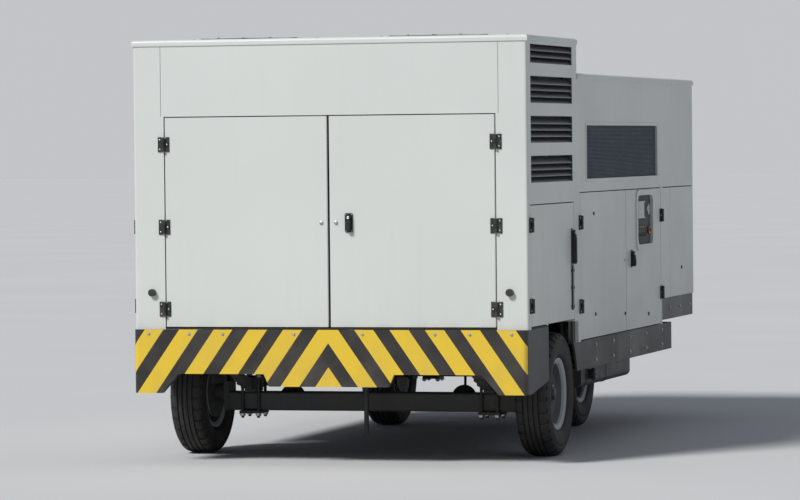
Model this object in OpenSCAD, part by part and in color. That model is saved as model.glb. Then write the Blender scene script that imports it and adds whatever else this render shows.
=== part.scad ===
// Mobile aircraft ground air-conditioning unit: a towed, diesel-driven machine on a
// four-wheel trailer with a turntable-steered front axle.
// X is across, Y runs from the rear (striped) end towards the tow bar, Z is up.
// Lengths are in millimetres, and a distance named "from the rear" is measured
// forward from the rear face of the housing.

/* [Housing] */
// Width of the housing
body_w = 2300; // [2200:10:2400]
// Length of the housing, without bumper and tow bar
body_l = 4600; // [4500:10:4900]
// Length of the tall condenser section at the rear
tall_l = 1220; // [1200:5:1260]
// Height of the tall section's roof above the ground
tall_h = 2400; // [2390:5:2450]
// Height of the low section's roof above the ground
low_h = 2200; // [2180:5:2230]
// Thickness of a door or wall panel
wall = 40; // [36:1:44]
// Thickness of a roof cap
roof_t = 35; // [28:1:40]
// Overhang of a roof cap past the walls
roof_lip = 6; // [4:1:10]
// Width of a rear corner post, seen from behind
corner_w = 180; // [160:5:200]
// Depth of a post behind its outer face
post_d = 60; // [56:1:70]

/* [Doors] */
// Gap between a door and its frame
seam = 6; // [5:0.5:8]
// Height of the rear doors' lower edge
rear_door_z = 775; // [770:1:800]
// Height of the seam above the rear doors
rear_seam_z = 1965; // [1900:5:1990]
// Height of the seam above the tall section's side doors
tall_seam_z = 1455; // [1430:5:1480]
// Height of the low section's side doors' lower edge
side_door_z = 645; // [640:1:670]
// Height of the seam above the low section's side doors
low_seam_z = 1508; // [1480:2:1530]
// Where the two side doors of the low section meet, from the rear
side_split = 2530; // [2450:5:2600]
// Where the low section's front door ends, from the rear
side_doors_end = 3560; // [3540:5:3580]
// How far a hinge's pin stands off the panels
hinge_off = 12; // [11:0.5:14]

/* [Chassis] */
// Height of the chassis rails' underside
rail_z = 760; // [755:1:780]
// Height of a chassis rail
rail_h = 140; // [130:5:160]
// Width of a chassis rail
rail_w = 80; // [70:5:90]
// Distance of a chassis rail from the middle
rail_x = 720; // [700:5:740]
// Thickness of the floor
floor_t = 15; // [10:1:20]
// Height of the side sills' top
sill_top = 635; // [625:1:638]
// Height of a side sill
sill_h = 170; // [150:5:180]
// Width of a side sill
sill_w = 90; // [80:5:100]
// Where the sills end at the front, from the rear
sill_end = 3960; // [3900:10:4000]

/* [Striped rear board] */
// Thickness of the board
board_t = 40; // [30:1:50]
// How far the board stands proud of the rear face
board_proud = 35; // [28:1:40]
// Height of the board's lower edge at its ends
board_low = 400; // [390:5:420]
// Height of the board's lower edge over the two notches
board_notch = 510; // [490:5:520]
// Height of the board's lower edge in the middle
board_mid = 440; // [430:5:460]
// Length of the board's returns along the sides
return_l = 470; // [440:5:480]

/* [Running gear] */
// Diameter of a tyre
tyre_d = 710; // [690:5:730]
// Width of a tyre
tyre_w = 200; // [190:5:210]
// Diameter of a rim's flange
rim_d = 414; // [405:1:420]
// Distance from the middle to a rear wheel's centre plane
rear_track = 1030; // [1015:5:1035]
// Distance from the middle to a front wheel's centre plane
front_track = 590; // [570:5:600]
// Rear axle, from the rear
rear_axle_l = 860; // [840:5:880]
// Front axle and its turntable, from the rear
front_axle_l = 3350; // [3320:10:3400]
// Radius of the turntable
ring_r = 320; // [300:5:340]

/* [Tow bar] */
// Distance from the turntable's axis to the tow bar's pin
fork_l = 1100; // [1050:10:1150]
// Length of the tow bar, from its pin to the middle of its eye
bar_l = 1400; // [1350:10:1450]
// Height of the tow bar's pin
bar_z = 360; // [350:5:380]
// Height of the eye's middle when the bar is down
eye_z = 66; // [60:1:90]
// Radius of the hole in the tow eye
eye_r = 38; // [35:0.5:40]

/* [Condenser fans] */
// Radius of a fan's shroud
shroud_r = 385; // [370:5:390]
// Gap between a blade's tip and the shroud
tip_gap = 10; // [8:1:16]
// Distance from the middle to a fan's axis
fan_x = 560; // [550:5:580]
// Number of blades
fan_blades = 6; // [5:1:7]
// Radius of a fan's shaft
shaft_r = 15; // [12:1:20]

/* [Hidden] */

half_w = body_w / 2;
eye_out = 80;                     // outer radius of the tow eye
eye_t = 42;                       // thickness of the tow eye
eye_edge = 10;                    // chamfer round the outside of the tow eye
eye_lead = 6;                     // chamfer round its hole
bar_drop = asin((bar_z - eye_z) / bar_l);
bar_reach = front_axle_l + fork_l + bar_l * cos(bar_drop) + eye_out * cos(bar_drop)
    + (eye_t / 2 - eye_edge) * sin(bar_drop) - body_l;
// The origin lies midway between the board's face and the tip of the tow eye.
rear_y = -(body_l + bar_reach - board_proud) / 2;
front_y = rear_y + body_l;
rear_axle_y = rear_y + rear_axle_l;
front_axle_y = rear_y + front_axle_l;
tall_y = rear_y + tall_l;
floor_z = rail_z + rail_h;        // underside of the floor
deck_z = floor_z + floor_t;       // top of the floor
tall_eave = tall_h - roof_t;
low_eave = low_h - roof_t;
tyre_r = tyre_d / 2;
tall_post_l = 90;                 // depth of the posts between the two sections
inner_x = half_w - post_d;        // inner face of the side posts
bumper_z = 660;                   // underside of the front bumper
bumper_top = 800;
low_post_l = 60;
fit_gap = 0.3;                    // gap at rest between a piece and its seat

// Points on an arc, for outlines with round stretches.
function arc(c, r, a0, a1, n = 6) =
    [for (i = [0 : n]) c + r * [cos(a0 + (a1 - a0) * i / n), sin(a0 + (a1 - a0) * i / n)]];

// A rectangle with round corners as an outline.
module round_rect(w, h, r) {
    polygon(concat(
        arc([w / 2 - r, h / 2 - r], r, 0, 90), arc([-w / 2 + r, h / 2 - r], r, 90, 180),
        arc([-w / 2 + r, -h / 2 + r], r, 180, 270), arc([w / 2 - r, -h / 2 + r], r, 270, 360)));
}

// A block from two opposite corners.
module box(lo, hi) {
    translate(lo) cube(hi - lo);
}

// What follows, and its mirror image on the left.
module both_sides() {
    children();
    mirror([1, 0, 0]) children();
}

// Chassis

cross_w = 70;
cross_h = 100;
cross_places = [120, 560, 1240, 1900, 2450, 2960, 3640, 4300];   // from the rear

rail_t = 8;                       // wall of a chassis rail
cross_t = 6;

// Channel section in the XY plane, with its web on the Y axis and open along X.
module channel(w, h, t) {
    difference() {
        square([w, h]);
        translate([t, t]) square([w, h - 2 * t]);
    }
}

module chassis_rails() color("dimgray") {
    // both rails are open towards the middle
    both_sides() translate([rail_x + rail_w / 2, front_y - wall - 5, rail_z]) rotate([90, 0, 0])
        linear_extrude(body_l - post_d - wall - 5) mirror([1, 0]) channel(rail_w, rail_h, rail_t);
    for (l = cross_places)
        translate([0, rear_y + l, floor_z - cross_h]) rotate([90, 0, 90])
            linear_extrude(2 * inner_x - 20, center = true) channel(cross_w, cross_h, cross_t);
}

hanger_places = [for (k = [2 : 5]) cross_places[k]];   // each under a crossmember
sill_x = half_w - 20;                          // outer face of a sill
arch_r = tyre_r + 65;                          // wheel arch round the rear wheel

module side_sill() {
    sill_start = rear_axle_l + arch_r - 120;
    difference() {
        union() {
            difference() {
                box([sill_x - sill_w, rear_y + sill_start, sill_top - sill_h],
                    [sill_x, rear_y + sill_end, sill_top]);
                // the channel is open towards the middle
                box([sill_x - sill_w - 1, rear_y + sill_start - 1, sill_top - sill_h + 10],
                    [sill_x - 12, rear_y + sill_end - 12, sill_top - 10]);
            }
            // gusset in front of the rear wheel, up to the tall section's post
            box([sill_x - 12, rear_y + sill_start, sill_top - 20],
                [sill_x, tall_y - fit_gap, rail_z - fit_gap]);
        }
        translate([0, rear_axle_y, tyre_r]) rotate([0, 90, 0])
            cylinder(h = half_w + 50, r = arch_r, $fn = 96);
    }
    for (l = hanger_places)
        box([sill_x - sill_w, rear_y + l, sill_top - 10],
            [sill_x - sill_w + 12, rear_y + l + cross_w, floor_z - cross_h]);
}

module side_sills() color("dimgray") both_sides() side_sill();

module floor_pan() color("gray")
    box([-inner_x, rear_y + post_d, floor_z], [inner_x, front_y - wall, deck_z]);

// Rear axle and springs

beam_w = 110;
beam_r = 14;                      // rounding of the axle beams
beam_low = 250;                   // underside of the rear beam
spindle_r = 30;
hub_gap = 0.5;                    // running clearance of a spindle in its hub
hub_in = 60;                      // inner end of a hub from its wheel's centre plane
hub_bore_end = 5;                 // blind end of a hub's bore from that plane
drum_r = 150;                     // radius of the opening that a brake drum turns in
stub_w = 64;                      // half the width of the plate at a beam's end
drum_in = 70;                     // open edge of a brake drum from its wheel's centre plane
drum_gap = 5;                     // from a drum to its backing plate
backing_t = 8;

// Beam end plate, then flange, brake backing plate and spindle as one turned piece.
// The plate ends at from_x.
module stub_axle(track, from_x, low_z) {
    backing_l = track - drum_in - drum_gap - backing_t - from_x;
    box([from_x - 30, -stub_w, min(low_z, tyre_r - stub_w)], [from_x, stub_w, tyre_r + stub_w]);
    translate([from_x - 1, 0, tyre_r]) rotate([0, 90, 0]) rotate_extrude($fn = 64) polygon([
        [0, 0], [stub_w - 4, 0], [46, backing_l + 1], [drum_r - 4, backing_l + 1],
        [drum_r - 4, backing_l + backing_t + 1], [spindle_r, backing_l + backing_t + 1],
        [spindle_r, track - hub_bore_end - 1 - from_x], [0, track - hub_bore_end - 1 - from_x]]);
}

module axle_beam(end_x, w, low_z) {
    translate([0, 0, low_z + w / 2]) rotate([90, 0, 90])
        linear_extrude(2 * end_x, center = true) round_rect(w, w, beam_r);
}

module rear_axle() color("dimgray") translate([0, rear_axle_y, 0]) {
    end_x = rear_track - tyre_w / 2 - 45;
    axle_beam(end_x - 1, beam_w, beam_low);
    both_sides() stub_axle(rear_track, end_x, beam_low);
}

leaf_t = 12;
leaf_w = 64;
leaf_count = 5;
rear_span = 900;                  // between the ends of a rear spring, and how far it bends
rear_rise = 100;
front_span = 650;
front_rise = 50;

// A pack of curved leaves, hung at both ends from hangers that reach up to hang_z.
// The shortest leaf lies on low_z, and the axle is at y = 0.
module leaf_pack(span, rise, low_z, hang_z) {
    bend_r = (span * span / 4 + rise * rise) / (2 * rise);
    centre_z = low_z + leaf_count * leaf_t + bend_r - leaf_t;
    for (i = [0 : leaf_count - 1]) {
        // the longest leaf is on top
        half_angle = asin(span / 2 / bend_r) * (1 - 0.17 * i);
        translate([-leaf_w / 2, 0, centre_z]) rotate([90, 0, 90])
            rotate([0, 0, -90 - half_angle]) rotate_extrude(angle = 2 * half_angle, $fn = 360)
                translate([bend_r - leaf_t + leaf_t * i, 0]) square([leaf_t + 0.5, leaf_w]);
    }
    end_z = centre_z - bend_r * cos(asin(span / 2 / bend_r));
    for (s = [-1, 1]) translate([0, s * span / 2, 0]) {
        translate([-leaf_w / 2, 0, end_z + 6]) rotate([0, 90, 0])
            cylinder(h = leaf_w, r = 20, $fn = 32);
        for (x = [-leaf_w / 2 - 14, leaf_w / 2 + 2])
            box([x, -30, end_z - 22], [x + 12, 30, hang_z]);
        translate([-leaf_w / 2 - hanger_pin_out, 0, end_z + 6]) rotate([0, 90, 0])
            cylinder(h = leaf_w + 2 * hanger_pin_out, r = 10, $fn = 24);
    }
}

module rear_spring() {
    pad_z = beam_low + beam_w;
    translate([rail_x, rear_axle_y, 0]) {
        leaf_pack(rear_span, rear_rise, pad_z + 16, rail_z);
        box([-leaf_w / 2, -80, pad_z], [leaf_w / 2, 80, pad_z + 18]);
        // saddle plates and the bolts through them
        top_z = pad_z + 16 + leaf_count * leaf_t;
        box([-52, -85, top_z - 2], [52, 85, top_z + 12]);
        box([-64, -85, beam_low - 16], [64, 85, beam_low]);
        for (x = [-48, 48], y = [-68, 68])
            translate([x, y, beam_low - 42]) cylinder(h = top_z + 26 - beam_low + 42, r = 9, $fn = 24);
    }
}

module rear_springs() color("#2a2a2a") both_sides() rear_spring();

// Turntable, front axle and tow bar

ring_h = 54;
table_gap = 0.4;                  // running gap between the two rings
ring_w = 90;
ring_mid_z = rail_z - 6 - ring_h; // where the two rings meet

module turntable_ring() color("dimgray") translate([0, front_axle_y, 0]) {
    difference() {
        translate([0, 0, ring_mid_z]) cylinder(h = ring_h, r = ring_r, $fn = 96);
        translate([0, 0, ring_mid_z - 1]) cylinder(h = ring_h + 2, r = ring_r - ring_w, $fn = 96);
    }
    // top plate, bolted up to the rails
    difference() {
        box([-rail_x - rail_w / 2, -350, rail_z - 6], [rail_x + rail_w / 2, 350, rail_z]);
        translate([0, 0, rail_z - 10]) cylinder(h = 20, r = ring_r - ring_w, $fn = 96);
    }
}

carrier_x = 300;                  // side members of the steered frame
carrier_z = 540;
hanger_pin_out = 20;              // how far a spring hanger's pin ends beside its leaves
ear_t = 30;
ear_x = carrier_x - leaf_w / 2 - hanger_pin_out - ear_t - 4;   // inner face of the tow bar's ears
pin_r = 20;
// Lightening holes in the ears: distance from the axle, height over the side members
ear_holes = [[300, 28], [420, 11], [700, -62], [850, -106]];
front_beam_w = 90;
clamp_w = 54;                     // half the width of a spring's clamp plates
clamp_l = front_beam_w / 2 + 19;
clamp_bolt_r = 8;

module steer_frame() color("#3a3a3a") translate([0, front_axle_y, 0]) {
    difference() {
        translate([0, 0, ring_mid_z - table_gap - ring_h])
            cylinder(h = ring_h, r = ring_r, $fn = 96);
        translate([0, 0, ring_mid_z - ring_h - 2])
            cylinder(h = ring_h + 4, r = ring_r - ring_w, $fn = 96);
    }
    plate_top = ring_mid_z - table_gap - ring_h + 1;
    box([-carrier_x - 40, -330, carrier_z + 70], [carrier_x + 40, 330, plate_top]);
    both_sides() {
        box([carrier_x - 35, -370, carrier_z], [carrier_x + 35, 370, carrier_z + 75]);
        // arm and ear that carry the tow bar
        translate([ear_x, 0, 0]) rotate([90, 0, 90]) linear_extrude(ear_t) difference() {
            polygon(concat([[200, carrier_z + 75], [200, carrier_z], [520, carrier_z - 60]],
                arc([fork_l, bar_z], 48, 225, 405, 10), [[560, carrier_z + 30], [370, carrier_z + 75]]));
            translate([fork_l, bar_z]) circle(r = pin_r + 0.5, $fn = 48);
            for (h = ear_holes) translate([h[0], carrier_z + h[1]]) circle(r = 24, $fn = 48);
        }
    }
}

module front_axle() color("#3a3a3a") translate([0, front_axle_y, 0]) {
    end_x = front_track - tyre_w / 2 - 40;
    beam_z = tyre_r - front_beam_w / 2;
    seat_z = beam_z + front_beam_w + 12;
    axle_beam(end_x - 1, front_beam_w, beam_z);
    both_sides() {
        stub_axle(front_track, end_x, beam_z);
        translate([carrier_x, 0, 0]) {
            box([-leaf_w / 2, -clamp_l, beam_z + front_beam_w - 1], [leaf_w / 2, clamp_l, seat_z]);
            leaf_pack(front_span, front_rise, seat_z - 2, carrier_z);
            box([-clamp_w, -clamp_l, beam_z - 14], [clamp_w, clamp_l, beam_z + 1]);
            for (s = [-1, 1], t = [-1, 1])
                translate([s * (clamp_w - clamp_bolt_r - 2), t * (clamp_l - clamp_bolt_r - 2), beam_z - 30])
                    cylinder(h = front_beam_w + 120, r = clamp_bolt_r, $fn = 24);
            box([-clamp_w, -clamp_l, seat_z + leaf_count * leaf_t - 4],
                [clamp_w, clamp_l, seat_z + leaf_count * leaf_t + 8]);
        }
    }
}

leg_x = 170;                      // legs of the tow bar at the pin
leg_in = 38;                      // legs of the tow bar where they meet the shaft
leg_l = 800;
leg_r = 26;
leg_turn = atan((leg_x - leg_in) / leg_l);
shaft_w = 70;                     // square shaft between the legs and the eye
grip_x = 110;                     // half the width of the grab handle
grip_back = 330;                  // from the eye's middle to the grab handle

module tow_eye() {
    half_t = eye_t / 2;
    rotate_extrude($fn = 72) polygon([
        [eye_r, -half_t + eye_lead], [eye_r + eye_lead, -half_t], [eye_out - eye_edge, -half_t],
        [eye_out, -half_t + eye_edge], [eye_out, half_t - eye_edge], [eye_out - eye_edge, half_t],
        [eye_r + eye_lead, half_t], [eye_r, half_t - eye_lead]]);
}

module tow_bar() color("#2e2e2e")
    translate([0, front_axle_y + fork_l, bar_z]) rotate([-bar_drop, 0, 0]) {
        translate([-ear_x + 4, 0, 0]) rotate([0, 90, 0]) cylinder(h = 2 * ear_x - 8, r = 34, $fn = 48);
        translate([-ear_x - ear_t - 8, 0, 0]) rotate([0, 90, 0])
            cylinder(h = 2 * (ear_x + ear_t + 8), r = pin_r, $fn = 48);
        both_sides() translate([leg_x, 0, 0]) rotate([-90, 0, leg_turn])
            cylinder(h = leg_l / cos(leg_turn), r = leg_r, $fn = 48);
        translate([0, leg_l - 70, 0]) rotate([-90, 0, 0])
            linear_extrude(bar_l - eye_out - leg_l + 82) round_rect(shaft_w, shaft_w, 12);
        // cross plate between the legs
        linear_extrude(12, center = true) difference() {
            polygon([[-leg_x * 0.75, 220], [leg_x * 0.75, 220],
                [leg_x * 0.62, 420], [-leg_x * 0.62, 420]]);
            translate([0, 320]) circle(r = 48, $fn = 48);
        }
        translate([0, bar_l, 0]) {
            tow_eye();
            box([-45, -eye_out - 40, -eye_t / 2], [45, -eye_r - 14, eye_t / 2]);
        }
        // grab handle behind the eye
        for (x = [-grip_x, grip_x]) translate([x, bar_l - grip_back, 0]) {
            rotate([-90, 0, 0]) cylinder(h = 170, r = 11, $fn = 24);
            sphere(r = 11, $fn = 24);
            translate([0, 170, 0]) sphere(r = 11, $fn = 24);
        }
        translate([-grip_x, bar_l - grip_back, 0]) rotate([0, 90, 0])
            cylinder(h = 2 * grip_x, r = 11, $fn = 24);
    }

// Wheels

rim_w = 150;

bead_in = 17;                     // how deep a tyre sits in its rim's flanges
shoulder_r = 28;                  // height and width of a tyre's shoulders
shoulder_w = 26;

// The section has few corners, since each one is a ring of many facets. Half of it is
// listed from the bead to the tread, and the other half mirrors it.
module tyre_section() {
    half = tyre_w / 2;
    one_side = [[rim_d / 2 - bead_in, rim_w / 2 - 8], [tyre_r - shoulder_r, half],
        [tyre_r, half - shoulder_w]];
    polygon(concat(one_side, [for (i = [2, 1, 0]) [one_side[i][0], -one_side[i][1]]]));
}

module tyre() color("#1d1d1f") rotate_extrude($fn = 96) tyre_section();

// A steel disc wheel with its hub and drum; its outer side is up.
module rim() color("whitesmoke") difference() {
    union() {
        rotate_extrude($fn = 96) polygon([
            [rim_d / 2 - 18, -rim_w / 2 + 8], [rim_d / 2, -rim_w / 2 + 3], [rim_d / 2, -rim_w / 2 - 5],
            [rim_d / 2 - 8, -rim_w / 2 - 5], [rim_d / 2 - 26, -rim_w / 2 + 4], [rim_d / 2 - 48, -20],
            [rim_d / 2 - 48, 20], [rim_d / 2 - 26, rim_w / 2 - 4], [rim_d / 2 - 8, rim_w / 2 + 5],
            [rim_d / 2, rim_w / 2 + 5], [rim_d / 2, rim_w / 2 - 3], [rim_d / 2 - 18, rim_w / 2 - 8],
            [rim_d / 2 - 38, 22], [rim_d / 2 - 38, -22]]);
        // dished disc
        rotate_extrude($fn = 96) polygon([
            [0, 10], [92, 10], [128, 38], [150, 26], [rim_d / 2 - 40, 16],
            [rim_d / 2 - 40, 4], [146, 14], [128, 26], [96, 0], [0, 0]]);
        translate([0, 0, -hub_in]) cylinder(h = hub_in + 6, r = 62, $fn = 64);
        translate([0, 0, 6]) cylinder(h = 44, r1 = 50, r2 = 42, $fn = 64);
        translate([0, 0, -drum_in]) cylinder(h = drum_in - 8, r = drum_r - 4, $fn = 64);
        translate([0, 0, -10]) cylinder(h = 14, r = 92, $fn = 64);
        for (i = [0 : 5]) rotate([0, 0, 60 * i]) translate([78, 0, 8]) cylinder(h = 20, r = 13, $fn = 6);
    }
    translate([0, 0, -drum_in - 1])
        cylinder(h = drum_in + 1 - hub_bore_end, r = spindle_r + hub_gap, $fn = 48);
    for (i = [0 : 5]) rotate([0, 0, 60 * i + 30]) translate([136, 0, 0])
        cylinder(h = 60, r = 13, $fn = 32);
}

// Carries a wheel modelled about Z to its place; side is 1 on the right and -1 on the left.
module at_wheel(track, y, side) {
    translate([side * track, y, tyre_r]) rotate([0, side * 90, 0]) children();
}

// Boxes under the floor

strap_places = [cross_places[3], cross_places[4]];   // each under a crossmember
under_x = sill_x - sill_w - 6;    // outer side of what hangs beside the sills
tank_w = 220;
tank_h = 140;
tank_z = 335;                     // underside of the fuel tank
tank_past = 110;                  // how far it reaches behind the first strap
tank_l = 1360;
strap_w = 40;
band_t = 3;                       // thickness of a tank band
filler_l = 210;                   // from the tank's rear end to its filler

module fuel_tank() color("#26282b") translate([under_x - band_t - tank_w / 2, rear_y, 0]) {
    translate([0, strap_places[0] - tank_past, tank_z + tank_h / 2]) rotate([-90, 0, 0]) {
        linear_extrude(tank_l) round_rect(tank_w, tank_h, 36);
        for (l = strap_places)
            translate([0, 0, l - strap_places[0] + tank_past + (cross_w - strap_w) / 2])
                linear_extrude(strap_w) round_rect(tank_w + 2 * band_t, tank_h + 2 * band_t, 39);
        // filler neck with its cap
        translate([tank_w / 2 - 2, 0, filler_l]) rotate([0, 90, 0]) {
            cylinder(h = 26, r = 30, $fn = 48);
            translate([0, 0, 22]) cylinder(h = 18, r = 38, $fn = 48);
        }
    }
    for (l = strap_places)
        box([-strap_w, l, tank_z + tank_h - 5], [0, l + cross_w, floor_z - cross_h]);
}

battery_w = 280;
battery_h = 270;
battery_z = 330;                  // underside of the battery box
battery_past = 20;                // how far it reaches past its straps at either end
battery_lid = 27;
lid_lip = 6;

module battery_box() color("#2e3033") {
    length = strap_places[1] - strap_places[0] + cross_w + 2 * battery_past;
    translate([-under_x + battery_w / 2, rear_y + strap_places[0] - battery_past + length / 2, battery_z]) {
        linear_extrude(battery_h) round_rect(battery_w, length, 16);
        translate([0, 0, battery_h - battery_lid / 2]) linear_extrude(battery_lid)
            round_rect(battery_w + 2 * lid_lip, length + 2 * lid_lip, 20);
    }
    for (l = strap_places)
        box([-under_x + battery_w / 2 - 25, rear_y + l, battery_z + battery_h],
            [-under_x + battery_w / 2 + 25, rear_y + l + cross_w, floor_z - cross_h]);
}

drain_r = 14;
drain_z = 135;                    // lower end of the drain pipe

module drain_pipe() color("#3c3c3c")
    translate([40, rear_y + cross_places[1] + cross_w / 2, drain_z]) difference() {
        cylinder(h = floor_z - cross_h - drain_z, r = drain_r, $fn = 32);
        translate([0, 0, -1]) cylinder(h = 80, r = drain_r - 4, $fn = 32);
    }

// Striped board with its returns

notch_in = 380;                   // inner end of a notch from the middle
notch_out = 965;                  // outer end of a notch from the middle
board_r = 30;                     // round outer corner, seen from above
board_skin = 6;
board_fold = 8;                   // thickness of the folded edges

module rear_board() color("gold") {
    board_shell();
    // stays from the board up to the rails
    both_sides()
        box([rail_x - 30, rear_y - board_proud + board_skin - 1, rail_z - 110],
            [rail_x + 30, rear_y + 260, rail_z]);
}

module board_shell() difference() {
    union() {
        // the board and its returns are one bent strip, seen from above
        translate([0, 0, board_low]) linear_extrude(rail_z - board_low) polygon(concat(
            [[-half_w, rear_y + return_l]],
            arc([-half_w + board_r, rear_y - board_proud + board_r], board_r, 180, 270),
            arc([half_w - board_r, rear_y - board_proud + board_r], board_r, 270, 360),
            [[half_w, rear_y + return_l], [half_w - 25, rear_y + return_l],
             [half_w - 25, rear_y - board_proud + board_t], [-half_w + 25, rear_y - board_proud + board_t],
             [-half_w + 25, rear_y + return_l]]));
    }
    // pressed skin with a folded edge all round
    both_sides()
        translate([0, rear_y - board_proud + board_skin, 0]) rotate([90, 0, 0]) mirror([0, 0, 1])
            linear_extrude(board_t) polygon([
                [-1, board_mid + board_fold], [notch_in - 30 - board_fold / 2, board_mid + board_fold],
                [notch_in - board_fold / 2, board_notch + board_fold],
                [notch_out - 80 + board_fold, board_notch + board_fold],
                [notch_out + 20 + board_fold, board_low + board_fold],
                [half_w - 25 - board_fold, board_low + board_fold],
                [half_w - 25 - board_fold, rail_z - board_fold], [-1, rail_z - board_fold]]);
    // lower edge with its two notches
    both_sides()
        translate([0, rear_y - board_proud - 1, 0]) rotate([90, 0, 0]) mirror([0, 0, 1])
            linear_extrude(board_t + 2) polygon([
                [-1, board_low - 1], [-1, board_mid], [notch_in - 30, board_mid],
                [notch_in, board_notch], [notch_out - 80, board_notch],
                [notch_out + 20, board_low - 1]]);
    // lower edge of the returns rises towards the wheel, and the arch clears the tyre
    both_sides() translate([half_w - 60, 0, 0]) rotate([90, 0, 90]) linear_extrude(80)
        polygon([[rear_y + 60, board_low - 1], [rear_y + return_l + 1, board_low - 1],
                 [rear_y + return_l + 1, board_low + 55]]);
    translate([-half_w - 10, rear_axle_y, tyre_r]) rotate([0, 90, 0])
        cylinder(h = body_w + 20, r = arch_r - 25, $fn = 96);
}

bumper_t = 70;
bumper_r = 60;
bumper_x = half_w - 5;
bumper_l = 3590;                  // where the bumper's sides start, from the rear
bumper_proud = 30;

module front_bumper() color("#2c3038")
    translate([0, 0, bumper_z]) linear_extrude(bumper_top - bumper_z - 0.5) polygon(concat(
        [[bumper_x - bumper_t, rear_y + bumper_l], [bumper_x, rear_y + bumper_l]],
        arc([bumper_x - bumper_r, front_y + bumper_proud - bumper_r], bumper_r, 0, 90),
        arc([-bumper_x + bumper_r, front_y + bumper_proud - bumper_r], bumper_r, 90, 180),
        [[-bumper_x, rear_y + bumper_l], [-bumper_x + bumper_t, rear_y + bumper_l],
         [-bumper_x + bumper_t, front_y + bumper_proud - bumper_t],
         [bumper_x - bumper_t, front_y + bumper_proud - bumper_t]]));

// Housing

module tall_posts() color("whitesmoke") {
    box([-half_w + corner_w + fit_gap, rear_y + wall + seam, rail_z],
        [half_w - corner_w - fit_gap, rear_y + post_d, floor_z]);
    both_sides() tall_post_pair();
}

corner_r = 14;                    // rounding of the housing's upright corners

module tall_post_pair() {
    translate([0, 0, rail_z]) linear_extrude(tall_eave - rail_z) polygon(concat(
        [[half_w, rear_y + post_d], [half_w - corner_w, rear_y + post_d], [half_w - corner_w, rear_y]],
        arc([half_w - corner_r, rear_y + corner_r], corner_r, 270, 360, 5)));
    box([inner_x, tall_y - tall_post_l, rail_z], [half_w, tall_y, tall_eave]);
}

module low_posts() color("whitesmoke") both_sides() {
    box([inner_x, tall_y, sill_top], [half_w, tall_y + low_post_l, low_seam_z]);
    box([inner_x, rear_y + side_doors_end, sill_top],
        [half_w, rear_y + bumper_l - 6, bumper_top]);
    box([inner_x, rear_y + side_doors_end, bumper_top],
        [half_w, rear_y + side_doors_end + low_post_l, low_seam_z]);
    translate([0, 0, bumper_top]) linear_extrude(low_eave - bumper_top) polygon(concat(
        [[inner_x, front_y], [inner_x, front_y - post_d], [half_w, front_y - post_d]],
        arc([half_w - corner_r, front_y - corner_r], corner_r, 0, 90, 5)));
}

roof_r = 18;

// Section of a cap from a to b, on z0 and with round upper corners.
module cap_section(a, b, z0) {
    polygon(concat([[a, z0], [b, z0]],
        arc([b - roof_r, z0 + roof_t - roof_r], roof_r, 0, 84),
        arc([a + roof_r, z0 + roof_t - roof_r], roof_r, 96, 180)));
}

// A flat cap with all four upper edges rounded, from y0 to y1 and on z0.
module roof_cap(y0, y1, z0) {
    w = half_w + roof_lip;
    intersection() {
        rotate([90, 0, 0]) mirror([0, 0, 1]) translate([0, 0, y0]) linear_extrude(y1 - y0)
            cap_section(-w, w, z0);
        rotate([90, 0, 90]) linear_extrude(2 * w + 2, center = true) cap_section(y0, y1, z0);
    }
}

fan_y = rear_y + tall_l / 2;
shroud_t = 10;
shroud_h = 150;

module tall_roof() color("whitesmoke") difference() {
    union() {
        roof_cap(rear_y - roof_lip, tall_y + roof_lip, tall_eave);
        for (s = [-1, 1]) translate([s * fan_x, fan_y, 0]) {
            translate([0, 0, tall_eave - shroud_h + 5])
                cylinder(h = shroud_h, r = shroud_r + shroud_t, $fn = 96);
            // raised rim that carries the guard
            translate([0, 0, tall_h - 5]) cylinder(h = 9, r = shroud_r + 26, $fn = 96);
        }
    }
    for (s = [-1, 1]) translate([s * fan_x, fan_y, tall_eave - shroud_h - 1])
        cylinder(h = shroud_h + roof_t + 40, r = shroud_r, $fn = 96);
}

module bulkhead() color("gainsboro")
    box([-inner_x, tall_y - wall, deck_z], [inner_x, tall_y, tall_eave]);

rib_count = 5;
rib_w = 60;
rib_in = 160;                     // from the side to the end of a rib
rib_from = 480;                   // from the tall section to the first rib
rib_pitch = (body_l - tall_l - 2 * rib_from) / (rib_count - 1);

module low_roof() color("whitesmoke") {
    roof_cap(tall_y + roof_lip + 0.5, front_y + roof_lip, low_eave);
    // stiffening ribs pressed into the roof
    for (k = [0 : rib_count - 1])
        translate([0, tall_y + rib_from + k * rib_pitch, low_h]) rotate([90, 0, 90])
            linear_extrude(2 * (half_w - rib_in), center = true)
                polygon([[0, -1], [rib_w, -1], [rib_w - 12, 9], [12, 9]]);
}

guard_z = tall_h + 4;             // underside of a guard
guard_rings = 8;
hub_r = 95;

// Finger guard: flat bars carry rings, and the fan's shaft hangs from the middle.
module fan_guard() {
    ring_pitch = (shroud_r + 20 - hub_r) / (guard_rings - 1);
    translate([0, 0, guard_z]) {
        for (i = [0 : guard_rings - 1]) {
            r = hub_r + ring_pitch * i;
            difference() {
                cylinder(h = 5, r = r, $fn = 72);
                translate([0, 0, -1]) cylinder(h = 7, r = r - 7, $fn = 72);
            }
        }
        for (a = [0 : 45 : 135]) rotate([0, 0, a])
            translate([-shroud_r - 18, -5, 0]) cube([2 * shroud_r + 36, 10, 8]);
        cylinder(h = 8, r = hub_r - 20, $fn = 72);
    }
    translate([0, 0, rotor_z - 15]) cylinder(h = guard_z - rotor_z + 16, r = shaft_r, $fn = 32);
}

module fan_guards() color("#222222")
    for (s = [-1, 1]) translate([s * fan_x, fan_y, 0]) fan_guard();

blade_pitch = 24;
rotor_z = tall_eave - 60;         // middle of the blades

blade_bend = 260;                 // radius of a blade's hollow
blade_sheet = 5;

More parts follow.
